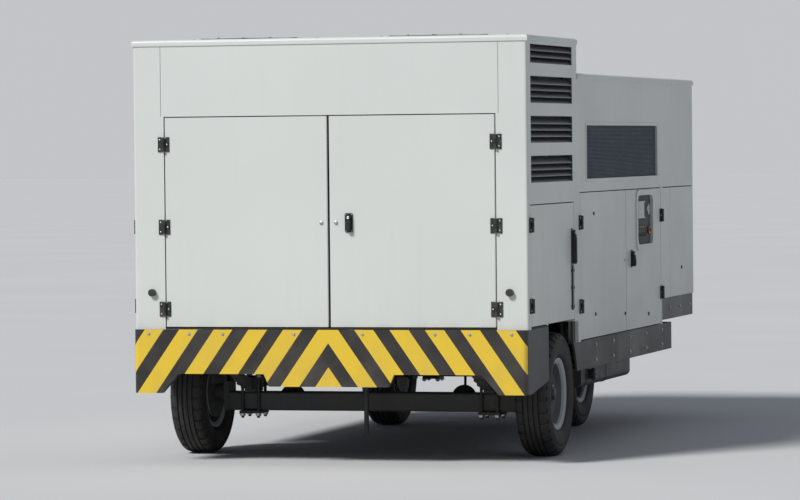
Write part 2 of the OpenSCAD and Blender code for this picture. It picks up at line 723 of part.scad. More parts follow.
// One blade: a strip of a thin tube whose axis is radial, set at an angle to the air.
module fan_blade() {
    tip = shroud_r - tip_gap;
    intersection() {
        rotate([blade_pitch, 0, 0]) translate([0, 0, -blade_bend]) rotate([0, 90, 0]) difference() {
            cylinder(h = tip + 20, r = blade_bend + blade_sheet / 2, $fn = 96);
            translate([0, 0, -1]) cylinder(h = tip + 22, r = blade_bend - blade_sheet / 2, $fn = 96);
        }
        translate([0, 0, -100]) linear_extrude(200) polygon(concat(
            [[60, 44], [60, -44]], arc([0, 0], tip + 20, -8, 21)));
        cylinder(h = 200, r = tip, center = true, $fn = 96);
    }
}

module fan() color("#303236") translate([0, fan_y, rotor_z]) difference() {
    union() {
        translate([0, 0, -45]) cylinder(h = 80, r = hub_r - 5, $fn = 72);
        for (i = [0 : fan_blades - 1]) rotate([0, 0, 360 / fan_blades * i]) fan_blade();
    }
    translate([0, 0, -16]) cylinder(h = 60, r = shaft_r + 0.05, $fn = 32);
}

// Louvred side of the tall section, with a lower slot at the top.
louvre_rows = 4;
louvre_from = 120;                // from the door's seam up to the first slot
louvre_top_h = 105;
louvre_pitch = (tall_eave - 17 - louvre_top_h - tall_seam_z - louvre_from) / (louvre_rows - 1);
// Each slot: lower edge, height.
louvre_slots = [for (k = [0 : louvre_rows - 1])
    [tall_seam_z + louvre_from + k * louvre_pitch,
     k < louvre_rows - 1 ? louvre_pitch * 0.675 : louvre_top_h]];
louvre_in = 25;                   // from a post to the end of a slot
blade_gap = 36;
blade_t = 4;

module louvre_panel() {
    y0 = rear_y + post_d;
    y1 = tall_y - tall_post_l;
    difference() {
        box([half_w - wall, y0, tall_seam_z], [half_w, y1, tall_eave]);
        for (s = louvre_slots)
            box([half_w - wall - 1, y0 + louvre_in, s[0]], [half_w + 1, y1 - louvre_in, s[0] + s[1]]);
    }
    for (s = louvre_slots, k = [0 : floor((s[1] - 20) / blade_gap)])
        intersection() {
            box([half_w - wall, y0 + louvre_in - 2, s[0] - 2],
                [half_w - 3, y1 - louvre_in + 2, s[0] + s[1] + 2]);
            translate([half_w - wall / 2, y0, s[0] + 14 + k * blade_gap]) rotate([0, 42, 0])
                translate([-40, 0, -blade_t / 2]) cube([80, y1 - y0, blade_t]);
        }
}

module louvre_panels() color("whitesmoke") both_sides() louvre_panel();

coil_t = 60;

module condenser_coils() color("#55585c") both_sides()
    difference() {
        box([half_w - wall - 16 - coil_t, rear_y + post_d, tall_seam_z + 20],
            [half_w - wall - 16, tall_y - tall_post_l, tall_eave]);
        // shallow vertical grooves between the fins' packs
        for (i = [1 : 5])
            box([half_w - wall - 20, rear_y + post_d + i * (tall_l - post_d - tall_post_l) / 6 - 4,
                 tall_seam_z + 50],
                [half_w, rear_y + post_d + i * (tall_l - post_d - tall_post_l) / 6 + 4,
                 tall_eave - 30]);
    }

// Long air intake in the side of the low section
intake_l0 = 1460;                 // from the rear
intake_l1 = 3460;
intake_z0 = 1583;
intake_z1 = 1897;
sheet_seam = 3850;                // where two sheets of the fixed lower panel meet

module fixed_panels() color("whitesmoke") {
    // header over the rear doors
    box([-half_w + corner_w, rear_y, rear_seam_z],
        [half_w - corner_w, rear_y + wall, tall_eave]);
    both_sides() {
        difference() {
            box([half_w - wall, tall_y, low_seam_z], [half_w, front_y - post_d, low_eave]);
            box([half_w - wall - 1, rear_y + intake_l0, intake_z0],
                [half_w + 1, rear_y + intake_l1, intake_z1]);
        }
        difference() {
            box([half_w - wall, rear_y + side_doors_end + low_post_l, bumper_top],
                [half_w, front_y - post_d, low_seam_z - seam]);
            // seam between two sheets
            box([half_w - 4, rear_y + sheet_seam, bumper_top - 1],
                [half_w + 1, rear_y + sheet_seam + 4, low_seam_z]);
        }
    }
}

grille_set = 14;                  // how far a grille lies behind the panel's face
grille_t = 18;
front_grille_w = 1500;
front_grille_z0 = 1560;
front_grille_z1 = 2060;

// A frame with slanted blades over a filter mat, lying in the XY plane with its face up.
module grille(w, h, bar) {
    translate([-w / 2, -h / 2, 0]) cube([w, h, 3]);
    linear_extrude(grille_t) difference() {
        square([w, h], center = true);
        square([w - 2 * bar, h - 2 * bar], center = true);
    }
    pitch = 30;
    count = floor((h - 2 * bar) / pitch);
    for (k = [0 : count - 1])
        translate([-w / 2 + bar - 1, -h / 2 + bar + (k + 0.5) * pitch, grille_t / 2])
            rotate([35, 0, 0]) translate([0, -8, -1.5]) cube([w - 2 * bar + 2, 16, 3]);
    for (x = [-w / 4, 0, w / 4])
        translate([x - 6, -h / 2 + bar - 1, 2]) cube([12, h - 2 * bar + 2, 4]);
}

module intake_grilles() color("#3b4850") {
    mid_y = rear_y + (intake_l0 + intake_l1) / 2;
    mid_z = (intake_z0 + intake_z1) / 2;
    both_sides() translate([half_w - grille_set - grille_t, mid_y, mid_z]) rotate([90, 0, 90])
        grille(intake_l1 - intake_l0 - 2 * fit_gap, intake_z1 - intake_z0 - 2 * fit_gap, 26);
    translate([0, front_y - grille_set - grille_t, (front_grille_z0 + front_grille_z1) / 2])
        rotate([90, 0, 180]) grille(front_grille_w - 2 * fit_gap,
            front_grille_z1 - front_grille_z0 - 2 * fit_gap, 26);
}

outlet_r = 152;                   // outer radius of an air outlet's collar
outlet_x = 420;
outlet_z = 1130;
outlet_l = 118;
outlet_t = 4;
outlet_in = 20;                   // how far a collar reaches past the inside of the panel
flange_t = 8;
groove_at = 98;                   // from the panel to the groove that a hose's clamp settles in
groove_w = 10;
groove_d = 2;

module front_panel() color("whitesmoke") difference() {
    box([-inner_x, front_y - wall, bumper_top], [inner_x, front_y, low_eave]);
    box([-front_grille_w / 2, front_y - wall - 1, front_grille_z0],
        [front_grille_w / 2, front_y + 1, front_grille_z1]);
    outlet_holes(front_y - wall - 1, wall + 2);
}

module outlet_holes(y, l) {
    for (s = [-1, 1]) translate([s * outlet_x, y, outlet_z]) rotate([-90, 0, 0])
        cylinder(h = l, r = outlet_r + fit_gap, $fn = 72);
}

module air_outlets() color("silver") for (s = [-1, 1])
    translate([s * outlet_x, front_y, outlet_z]) rotate([-90, 0, 0]) rotate_extrude($fn = 72)
        polygon([
            [outlet_r - outlet_t, -wall - outlet_in], [outlet_r, -wall - outlet_in], [outlet_r, 0],
            [outlet_r + 34, 0], [outlet_r + 34, flange_t - 2], [outlet_r + 32, flange_t],
            [outlet_r, flange_t], [outlet_r, groove_at], [outlet_r - groove_d, groove_at + groove_d],
            [outlet_r - groove_d, groove_at + groove_w - groove_d], [outlet_r, groove_at + groove_w],
            [outlet_r, outlet_l],
            [outlet_r - outlet_t, outlet_l]]);

// Doors. Each row describes one: hinge edge x and y, lower edge, width, height, turn about Z
// that takes X along the door away from the hinges, 1 if the outside is then on the other
// side, distance of the handle from the free edge or 0 for none, handle height, its length,
// height of the hinges, and up to where its inside is hollow.
rear_door_w = half_w - corner_w;
rear_door_h = rear_seam_z - rear_door_z;
tall_door_w = tall_l - post_d - tall_post_l;
side_door_h = low_seam_z - side_door_z;
rear_hinge_ups = [100, 565, 1033];             // hinges and handles over a door's lower edge
tall_hinge_ups = [115, 565];
side_hinge_ups = [195, 685];
rear_handle_up = 585;
tall_handle_up = 420;
side_handle_up = 435;
rear_handle_in = 113;                          // handles from a door's free edge
tall_handle_in = 60;
side_handle_in = 137;
lever_h = 108;
tall_lever_h = 210;
panel_room = 430;                              // height kept free of pockets for the control panel
rear_hinges = [for (up = rear_hinge_ups) rear_door_z + up];
tall_hinges = [for (up = tall_hinge_ups) rear_door_z + up];
side_hinges = [for (up = side_hinge_ups) side_door_z + up];
rear_handle_z = rear_door_z + rear_handle_up;
tall_handle_z = rear_door_z + tall_handle_up;
side_handle_z = side_door_z + side_handle_up;
door_rear_right_at = [half_w - corner_w, rear_y, rear_door_z, rear_door_w, rear_door_h,
    180, 0, rear_handle_in, rear_handle_z, lever_h, rear_hinges, rear_seam_z];
door_rear_left_at = [-half_w + corner_w, rear_y, rear_door_z, rear_door_w, rear_door_h,
    0, 1, 0, rear_handle_z, 0, rear_hinges, rear_seam_z];
door_tall_at = [half_w, rear_y + post_d, rear_door_z, tall_door_w, tall_seam_z - rear_door_z,
    90, 1, tall_handle_in, tall_handle_z, tall_lever_h, tall_hinges, tall_seam_z];
door_side_1_at = [half_w, tall_y + low_post_l, side_door_z, side_split - tall_l - low_post_l,
    side_door_h, 90, 1, 0, side_handle_z, 0, side_hinges, low_seam_z];
door_side_2_at = [half_w, rear_y + side_doors_end, side_door_z, side_doors_end - side_split,
    side_door_h, -90, 0, side_handle_in, side_handle_z, lever_h, side_hinges,
    low_seam_z - panel_room];

knuckle_r = 10;
knuckle_h = 26;
hinge_w = 30;

// Carries what is modelled with X along the door and Y outwards to its place.
module at_door(d) {
    translate([d[0], d[1], 0]) rotate([0, 0, d[5]]) mirror([0, d[6], 0]) children();
}

// The door's half of a hinge is the middle knuckle; the post's half has the other two.
module hinge_half(z, on_door) {
    side = on_door ? 1 : -1;
    knuckles = on_door ? [-knuckle_h / 2] : [-knuckle_h * 1.5 - 1, knuckle_h / 2 + 1];
    for (k = knuckles) {
        translate([0, hinge_off, z + k]) cylinder(h = knuckle_h, r = knuckle_r, $fn = 32);
        box([min(0, side * hinge_w), 0, z + k], [max(0, side * hinge_w), 8, z + k + knuckle_h]);
        box([min(0, side * 9), 6, z + k], [max(0, side * 9), hinge_off, z + k + knuckle_h]);
    }
    if (!on_door)
        translate([0, hinge_off, z - knuckle_h * 1.5 - 1]) cylinder(h = 3 * knuckle_h + 2, r = 4, $fn = 24);
}

handle_w = 46;
lever_w = 26;
lever_r = 16;                     // boss that the lever turns in

// Lever latch on its base plate, h long over all
module handle(h) {
    rotate([-90, 0, 0]) mirror([0, 1, 0]) {
        translate([0, 0, -1]) linear_extrude(8) round_rect(handle_w, h, 8);
        translate([0, -14, -1]) linear_extrude(30) round_rect(lever_w, h - 40, 10);
        translate([0, h / 2 - 24, -1]) cylinder(h = 24, r = lever_r, $fn = 32);
    }
}

door_rim = 38;                    // width of a door's frame, seen from inside
door_skin = 5;

// Hollow in the inside of a door, in two parts with a rib between them
module door_hollow(d) {
    low = d[2] + door_rim;
    high = min(d[2] + d[4] - seam, d[11]) - door_rim;
    middle = (low + high) / 2;
    for (z = [[low, middle - door_rim / 2], [middle + door_rim / 2, high]])
        box([seam + door_rim, -wall - 1, z[0]], [d[3] - seam - door_rim, -door_skin, z[1]]);
}

lock_r = 10;

module door_leaf(d) {
    w = d[3];
    difference() {
        union() {
            difference() {
                // skin with chamfered outer edges
                translate([0, 0, d[2]]) linear_extrude(d[4] - seam) polygon([
                    [seam, -wall], [w - seam, -wall], [w - seam, -4], [w - seam - 4, 0],
                    [seam + 4, 0], [seam, -4]]);
                door_hollow(d);
                // clearance round the hinges' pins
                for (z = d[10]) translate([0, hinge_off, z - knuckle_h * 1.5 - 6])
                    cylinder(h = 3 * knuckle_h + 12, r = knuckle_r + 6, $fn = 32);
            }
            for (z = d[10]) hinge_half(z, true);
        }
        for (z = d[10]) translate([0, hinge_off, z - 60]) cylinder(h = 120, r = 4.3, $fn = 24);
    }
    if (d[7] > 0) translate([w - seam - d[7], 0, d[8]]) handle(d[9]);
    // lock near the free edge
    translate([w - 43, -1, d[8]]) rotate([-90, 0, 0]) cylinder(h = 5, r = lock_r, $fn = 24);
}

module door(d) color("whitesmoke") at_door(d) door_leaf(d);

// Control panel in the low section's front right door
panel_from = 540;                 // its middle, from where the side doors meet
panel_down = 196;                 // its middle below the seam over the doors
panel_w = 440;
panel_h = 305;
panel_r = 45;
panel_set = 16;
panel_frame = 35;                 // width of the raised frame round it
panel_l = side_split + panel_from;
panel_z = low_seam_z - panel_down;

module door_side_right_2() color("whitesmoke") difference() {
    union() {
        door(door_side_2_at);
        translate([half_w - 1, rear_y + panel_l, panel_z]) rotate([90, 0, 90])
            linear_extrude(9) round_rect(panel_w + 2 * panel_frame, panel_h + 2 * panel_frame,
                panel_r + panel_frame / 2);
    }
    translate([half_w - panel_set, rear_y + panel_l, panel_z]) rotate([90, 0, 90])
        linear_extrude(60) round_rect(panel_w, panel_h, panel_r);
}

// Each switch: across, up, radius, height over the panel
panel_switches = concat(
    [for (j = [0, 1], k = [0 : 4]) [-165 + 52 * k, -45 - 48 * j, 11, 5]],
    [[150, 62, 34, 3], [150, -68, 23, 10]]);

module control_panel() color("#2c3a40")
    translate([half_w - panel_set, rear_y + panel_l, panel_z]) rotate([90, 0, 90]) {
        linear_extrude(6) round_rect(panel_w - 1, panel_h - 1, panel_r);
        translate([-61, 62, 5]) linear_extrude(5) round_rect(230, 118, 10);
        for (s = panel_switches)
            translate([s[0], s[1], 5]) cylinder(h = s[3] + 1, r = s[2], $fn = 32);
    }

buffer_in = 105;                  // from the side to the middle of a rubber buffer
buffer_up = 193;                  // from the rear doors' lower edge

module door_hinges() color("#151515") {
    for (d = [door_rear_left_at, door_rear_right_at])
        at_door(d) for (z = d[10]) hinge_half(z, false);
    both_sides() for (d = [door_tall_at, door_side_1_at, door_side_2_at])
        at_door(d) for (z = d[10]) hinge_half(z, false);
    // rubber buffers on the rear corner posts
    for (s = [-1, 1]) translate([s * (half_w - buffer_in), rear_y, rear_door_z + buffer_up])
        rotate([90, 0, 0]) cylinder(h = 24, r = 21, $fn = 32);
}

// Inside and on the roof

engine_from = 680;                // from the tall section
engine_l = 1150;
engine_w = 760;
engine_h = 725;
engine_off = 50;                  // its middle lies this far to the left

module engine_block() color("#4a4d50")
    box([-engine_off - engine_w / 2, tall_y + engine_from, deck_z],
        [-engine_off + engine_w / 2, tall_y + engine_from + engine_l, deck_z + engine_h]);

exhaust_in = 370;                 // from the side to the exhaust stack
exhaust_x = half_w - exhaust_in;
exhaust_y = tall_y + rib_from + (rib_pitch + rib_w) / 2;   // midway between two ribs

module exhaust_stack() color("#55524e") translate([-exhaust_x, exhaust_y, low_h]) {
    difference() {
        union() {
            cylinder(h = 135, r = 48, $fn = 48);
            cylinder(h = 10, r = 85, $fn = 48);
        }
        translate([0, 0, 12]) cylinder(h = 140, r = 43, $fn = 48);
    }
    // rain cap on its two stays
    translate([0, 0, 160]) cylinder(h = 6, r = 62, $fn = 48);
    for (s = [-1, 1])
        box([-8, s * 45 - 2, 100], [8, s * 45 + 2, 161]);
}

chassis_rails();
side_sills();
floor_pan();
rear_axle();
rear_springs();
turntable_ring();
fuel_tank();
battery_box();
rear_board();
front_bumper();
tall_posts();
tall_roof();
bulkhead();
low_posts();
low_roof();
fan_guards();
louvre_panels();
condenser_coils();
fixed_panels();
intake_grilles();
front_panel();
air_outlets();
door_hinges();
engine_block();
exhaust_stack();
drain_pipe();
steer_frame();
front_axle();
tow_bar();
at_wheel(rear_track, rear_axle_y, -1) tyre();  // tyre_rear_left
at_wheel(rear_track, rear_axle_y, 1) tyre();  // tyre_rear_right
at_wheel(front_track, front_axle_y, -1) tyre();  // tyre_front_left
at_wheel(front_track, front_axle_y, 1) tyre();  // tyre_front_right
at_wheel(rear_track, rear_axle_y, -1) rim();  // rim_rear_left
at_wheel(rear_track, rear_axle_y, 1) rim();  // rim_rear_right
at_wheel(front_track, front_axle_y, -1) rim();  // rim_front_left
at_wheel(front_track, front_axle_y, 1) rim();  // rim_front_right
translate([-fan_x, 0, 0]) fan();  // fan_left
translate([fan_x, 0, 0]) fan();  // fan_right
door(door_rear_left_at);  // door_rear_left
door(door_rear_right_at);  // door_rear_right
mirror([1, 0, 0]) door(door_tall_at);  // door_tall_left
door(door_tall_at);  // door_tall_right
mirror([1, 0, 0]) door(door_side_1_at);  // door_side_left_1
mirror([1, 0, 0]) door(door_side_2_at);  // door_side_left_2
door(door_side_1_at);  // door_side_right_1
door_side_right_2();
control_panel();
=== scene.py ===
"""Looks of a towed air-conditioning unit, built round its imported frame.

Lengths are in metres. X is across, Y runs from the striped end towards the tow bar, Z is up.
"""

import logging
import math
from collections.abc import Callable, Sequence
from dataclasses import dataclass, field
from enum import Enum

import bpy
from mathutils import Matrix, Vector


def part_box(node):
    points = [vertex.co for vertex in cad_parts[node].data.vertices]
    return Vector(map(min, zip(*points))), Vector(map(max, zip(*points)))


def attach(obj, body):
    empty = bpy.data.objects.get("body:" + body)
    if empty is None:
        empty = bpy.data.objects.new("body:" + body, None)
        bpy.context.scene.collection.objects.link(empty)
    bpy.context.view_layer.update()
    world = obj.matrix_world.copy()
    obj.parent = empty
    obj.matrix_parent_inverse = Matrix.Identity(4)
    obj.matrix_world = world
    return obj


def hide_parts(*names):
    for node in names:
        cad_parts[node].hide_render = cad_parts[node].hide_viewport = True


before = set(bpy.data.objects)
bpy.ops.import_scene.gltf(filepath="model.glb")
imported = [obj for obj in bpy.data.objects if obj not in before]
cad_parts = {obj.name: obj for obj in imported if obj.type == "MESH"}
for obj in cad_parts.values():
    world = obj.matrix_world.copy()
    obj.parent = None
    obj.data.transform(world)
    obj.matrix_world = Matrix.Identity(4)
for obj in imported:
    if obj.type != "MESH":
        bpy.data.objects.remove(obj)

log = logging.getLogger("air_unit")
Piece = bpy.types.Object
Socket = bpy.types.NodeSocket
Triple = tuple[float, float, float]
Point = Sequence[float]
Outline = Sequence[tuple[float, float]]
Step = Callable[[], object]


class Axis(Enum):
    """A direction that a round piece points in."""

    X = (1.0, 0.0, 0.0)
    Y = (0.0, 1.0, 0.0)
    Z = (0.0, 0.0, 1.0)


class Side(Enum):
    """Left or right, with the sign of X there."""

    LEFT = -1
    RIGHT = 1

    @property
    def word(self) -> str:
        """Returns the side's name as it stands in node names."""
        return self.name.lower()


# Meshes


def aimed(place: Point, axis: Axis, sign: int = 1) -> Matrix:
    """Finds the move of a piece that is modelled at the origin and points up.

    Args:
        place: Where the piece goes.
        axis: The axis that it points along there.
        sign: 1 to point along the axis, -1 against it.

    Returns:
        The move.
    """
    turn = Vector((0, 0, 1)).rotation_difference(Vector(axis.value) * sign)
    return Matrix.Translation(Vector(place)) @ turn.to_matrix().to_4x4()


def leave_edit() -> None:
    """Goes back to object mode with nothing selected."""
    if bpy.context.object and bpy.context.object.mode != "OBJECT":
        bpy.ops.object.mode_set(mode="OBJECT")
    bpy.ops.object.select_all(action="DESELECT")


def hold(piece: Piece) -> None:
    """Makes a piece the only one that is selected.

    Args:
        piece: The object that the next operators act on.
    """
    leave_edit()
    piece.select_set(True)
    bpy.context.view_layer.objects.active = piece


def settle(piece: Piece, move: Matrix | None = None) -> Piece:
    """Puts a piece's place, turn and size into its mesh.

    Args:
        piece: The object to settle.
        move: A move to make first, or None where the object already stands right.

    Returns:
        The same object, at the origin.
    """
    if move is not None:
        piece.matrix_world = move
    hold(piece)
    bpy.ops.object.transform_apply(location=True, rotation=True, scale=True)
    return piece


def block(name: str, low: Point, high: Point, bevel: float = 0.0, segments: int = 2) -> Piece:
    """Adds a block between two corners, with bevelled edges.

    Args:
        name: The piece's name.
        low: One corner.
        high: The opposite corner.
        bevel: Width of the bevel, or 0 for none.
        segments: Steps of the bevel.

    Returns:
        The new piece.
    """
    leave_edit()
    a = Vector([min(pair) for pair in zip(low, high)])
    b = Vector([max(pair) for pair in zip(low, high)])
    bpy.ops.mesh.primitive_cube_add(size=1.0, location=(a + b) / 2, scale=b - a)
    piece = bpy.context.object
    piece.name = name
    settle(piece)
    if bevel:
        on_edges(piece, lambda p, q: True, bevelled(bevel, segments))
    return piece


def ring_block(name: str, low: Point, high: Point, bar: float, bevel: float = 0.0) -> Piece:
    """Adds a rectangular ring: a block with an opening through its thinnest side.

    Args:
        name: The piece's name.
        low: One corner.
        high: The opposite corner.
        bar: Width of the ring round the opening.
        bevel: Width of the bevel along its edges, or 0 for none.

    Returns:
        The new piece.
    """
    piece = block(name, low, high)
    size = [abs(b - a) for a, b in zip(low, high)]
    thin = size.index(min(size))
    on_faces(piece, lambda face: abs(face.normal[thin]) > 0.9, inset(bar),
             lambda: bpy.ops.mesh.bridge_edge_loops(),
             lambda: bpy.ops.mesh.select_all(action="SELECT"),
             lambda: bpy.ops.mesh.normals_make_consistent(inside=False))
    if bevel:
        on_edges(piece, lambda p, q: True, bevelled(bevel))
    return piece


def rod(name: str, start: Point, end: Point, radius: float, sides: int, bevel: float = 0.0) -> Piece:
    """Adds a round bar from one point to another.

    Args:
        name: The piece's name.
        start: Middle of its first end.
        end: Middle of its other end.
        radius: Its radius.
        sides: Faces round it.
        bevel: Width of the bevel round its ends, or 0 for none.

    Returns:
        The new piece.
    """
    leave_edit()
    a, b = Vector(start), Vector(end)
    along = b - a
    bpy.ops.mesh.primitive_cone_add(
        vertices=sides, radius1=radius, radius2=radius, depth=along.length, location=(a + b) / 2,
        rotation=Vector((0, 0, 1)).rotation_difference(along).to_euler())
    piece = bpy.context.object
    piece.name = name
    settle(piece)
    if bevel:
        unit = along.normalized()
        on_edges(piece, lambda p, q: abs((q - p).normalized().dot(unit)) < 0.3, bevelled(bevel))
    return soften(piece)


def turned(name: str, outline: Outline, centre: Point = (0, 0, 0), axis: Axis = Axis.Z,
           steps: int = 48) -> Piece:
    """Spins an outline round an axis, as on a lathe.

    Args:
        name: The piece's name.
        outline: Points as radius and distance along the axis.
        centre: Where the axis starts.
        axis: The axis's direction.
        steps: Faces round the piece.

    Returns:
        The new piece.
    """
    leave_edit()
    bpy.ops.mesh.primitive_plane_add(size=0.001, location=(0, 0, 0))
    piece = bpy.context.object
    piece.name = name
    bpy.ops.object.mode_set(mode="EDIT")
    bpy.ops.mesh.select_mode(type="VERT")
    bpy.ops.mesh.select_all(action="SELECT")
    bpy.ops.mesh.merge(type="CENTER")
    radius, height = outline[0]
    bpy.ops.transform.translate(value=(radius, 0, height))
    for next_radius, next_height in (*outline[1:], outline[0]):
        bpy.ops.mesh.extrude_vertices_move(TRANSFORM_OT_translate={
            "value": (next_radius - radius, 0, next_height - height)})
        radius, height = next_radius, next_height
    bpy.ops.mesh.select_all(action="SELECT")
    bpy.ops.mesh.remove_doubles(threshold=1e-6)
    bpy.ops.mesh.spin(steps=steps, angle=math.tau, center=(0, 0, 0), axis=(0, 0, 1))
    bpy.ops.mesh.select_all(action="SELECT")
    bpy.ops.mesh.remove_doubles(threshold=1e-5)
    bpy.ops.mesh.normals_make_consistent(inside=False)
    leave_edit()
    return soften(settle(piece, aimed(centre, axis)))


def scaled(outline: Outline, radius: float) -> Outline:
    """Returns an outline whose radii were given as shares of a radius."""
    return [(share * radius, height) for share, height in outline]


def run_steps(steps: Sequence[Step]) -> None:
    """Runs edit-mode steps on what the held piece has selected.

    Args:
        steps: Calls to make in edit mode, in order.
    """
    bpy.ops.object.mode_set(mode="EDIT")
    for step in steps:
        step()
    bpy.ops.object.mode_set(mode="OBJECT")


def on_edges(piece: Piece, chosen: Callable[[Vector, Vector], bool], *steps: Step) -> None:
    """Selects edges by their ends and runs edit-mode steps on them.

    Args:
        piece: The object being edited.
        chosen: Says whether the edge between two points is taken.
        steps: Calls to make in edit mode, in order.
    """
    hold(piece)
    run_steps([lambda: bpy.ops.mesh.select_mode(type="EDGE"),
               lambda: bpy.ops.mesh.select_all(action="DESELECT")])
    points = piece.data.vertices
    for edge in piece.data.edges:
        edge.select = chosen(*[points[i].co for i in edge.vertices])
    run_steps(steps)


def on_faces(piece: Piece, chosen: Callable[[bpy.types.MeshPolygon], bool], *steps: Step) -> None:
    """Selects faces by their place or normal and runs edit-mode steps on them.

    Args:
        piece: The object being edited.
        chosen: Says whether a face is taken.
        steps: Calls to make in edit mode, in order.
    """
    hold(piece)
    run_steps([lambda: bpy.ops.mesh.select_mode(type="FACE"),
               lambda: bpy.ops.mesh.select_all(action="DESELECT")])
    for face in piece.data.polygons:
        face.select = chosen(face)
    run_steps(steps)


def bevelled(width: float, segments: int = 2) -> Step:
    """Returns a step that bevels the chosen edges."""
    return lambda: bpy.ops.mesh.bevel(offset=width, segments=segments, affect="EDGES")


def inset(thickness: float, depth: float = 0.0) -> Step:
    """Returns a step that insets the chosen faces and moves them inwards by a depth."""
    return lambda: bpy.ops.mesh.inset(thickness=thickness, depth=-depth)


def sink(depth: float) -> Step:
    """Returns a step that extrudes the chosen faces inwards by a depth."""
    return lambda: bpy.ops.mesh.extrude_region_shrink_fatten(
        TRANSFORM_OT_shrink_fatten={"value": -depth})


def soften(piece: Piece, angle: float = 35.0) -> Piece:
    """Shades a piece smoothly across its shallow edges.

    Args:
        piece: The object to shade.
        angle: Edges sharper than this, in degrees, stay crisp.

    Returns:
        The same object.
    """
    hold(piece)
    bpy.ops.object.shade_smooth_by_angle(angle=math.radians(angle))
    return piece


def copy_of(piece: Piece, move: Matrix, name: str) -> Piece:
    """Copies a piece with a mesh of its own.

    Args:
        piece: The settled piece to copy.
        move: The move from the piece to its copy.
        name: The copy's name.

    Returns:
        The copy, settled.
    """
    twin = piece.copy()
    twin.data = piece.data.copy()
    twin.name = name
    bpy.context.scene.collection.objects.link(twin)
    return settle(twin, move)


def joined(name: str, pieces: Sequence[Piece]) -> Piece:
    """Joins pieces into one.

    Args:
        name: The name of the whole.
        pieces: What is joined.

    Returns:
        The whole.
    """
    hold(pieces[0])
    for piece in pieces[1:]:
        piece.select_set(True)
    if len(pieces) > 1:
        bpy.ops.object.join()
    whole = bpy.context.view_layer.objects.active
    whole.name = name
    return whole


def repeated(name: str, piece: Piece, moves: Sequence[Matrix]) -> Piece:
    """Joins copies of a piece, which itself goes.

    Args:
        name: The name of the whole.
        piece: The settled piece to repeat.
        moves: The move to each copy.

    Returns:
        The whole.
    """
    whole = joined(name, [copy_of(piece, move, f"{name}_{i}") for i, move in enumerate(moves)])
    bpy.data.objects.remove(piece)
    return whole


def row(piece: Piece, count: int, step: Point) -> Piece:
    """Repeats a piece along a line.

    Args:
        piece: The settled piece.
        count: How many there are in the end.
        step: The way from one to the next.

    Returns:
        The same object with all of them in its mesh.
    """
    hold(piece)
    array = piece.modifiers.new("row", "ARRAY")
    array.count = count
    array.use_relative_offset = False
    array.use_constant_offset = True
    array.constant_offset_displace = step
    bpy.ops.object.modifier_apply(modifier=array.name)
    return piece


def tube(name: str, points: Sequence[Point], radius: float) -> Piece:
    """Adds a bent tube with closed ends.

    Args:
        name: The piece's name.
        points: What pulls its middle line, which is rounded between them.
        radius: Its radius.

    Returns:
        The new piece.
    """
    leave_edit()
    bpy.ops.curve.primitive_nurbs_path_add(location=(0, 0, 0))
    piece = bpy.context.object
    piece.name = name
    line = piece.data
    line.bevel_depth = radius
    line.bevel_resolution = 3
    line.resolution_u = 8
    line.use_fill_caps = True
    line.splines.clear()
    spline = line.splines.new("NURBS")
    spline.points.add(len(points) - 1)
    for point, place in zip(spline.points, points):
        point.co = (*place, 1.0)
    spline.use_endpoint_u = True
    spline.order_u = 3
    hold(piece)
    bpy.ops.object.convert(target="MESH")
    return soften(bpy.context.object, 50.0)


def bolts(name: str, places: Sequence[Point], axis: Axis, sign: int, radius: float,
          height: float) -> Piece:
    """Adds hexagon bolt heads on washers.

    Args:
        name: The name of the whole.
        places: Where each head meets its face.
        axis: The direction that the heads point in.
        sign: 1 to point along the axis, -1 against it.
        radius: Radius of a head across its corners.
        height: Height of a head.

    Returns:
        The joined heads.
    """
    washer = rod("washer", (0, 0, -0.001), (0, 0, 0.0015), radius * 1.35, 16)
    head = rod("head", (0, 0, 0.001), (0, 0, height), radius, 6, bevel=radius * 0.1)
    return repeated(name, joined("bolt", [washer, head]), [aimed(p, axis, sign) for p in places])


def quarter_turn(name: str, place: Point, axis: Axis, sign: int, radius: float) -> Piece:
    """Adds a quarter-turn latch: a dished disc with a wing across it.

    Args:
        name: The piece's name.
        place: Where its middle meets the face.
        axis: The direction that it points in.
        sign: 1 to point along the axis, -1 against it.
        radius: Radius of its disc.

    Returns:
        The new piece.
    """
    dish = ((0.0, 0.0025), (0.7, 0.0025), (0.85, 0.0045), (1.0, 0.0035), (1.05, -0.001), (0.0, -0.001))
    disc = turned("disc", scaled(dish, radius), steps=28)
    long, wide = radius * 0.75, radius * 0.16
    wing = block("wing", (-long, -wide, 0.002), (long, wide, 0.0065), 0.0008)
    return settle(joined(name, [disc, wing]), aimed(place, axis, sign))


def rivets(name: str, places: Sequence[Point], axis: Axis, sign: int, radius: float) -> Piece:
    """Adds domed rivet heads.

    Args:
        name: The name of the whole.
        places: Where each head meets its face.
        axis: The direction that the heads point in.
        sign: 1 to point along the axis, -1 against it.
        radius: Radius of a head.

    Returns:
        The joined heads.
    """
    dome = [(0.0, radius * 0.45), (radius * 0.6, radius * 0.36), (radius, 0.0), (0.0, -0.0005)]
    return repeated(name, turned("dome", dome, steps=10), [aimed(p, axis, sign) for p in places])


# Finishes


def darker(colour: Triple, share: float) -> Triple:
    """Returns a colour at a share of its strength."""
    return tuple(c * share for c in colour)


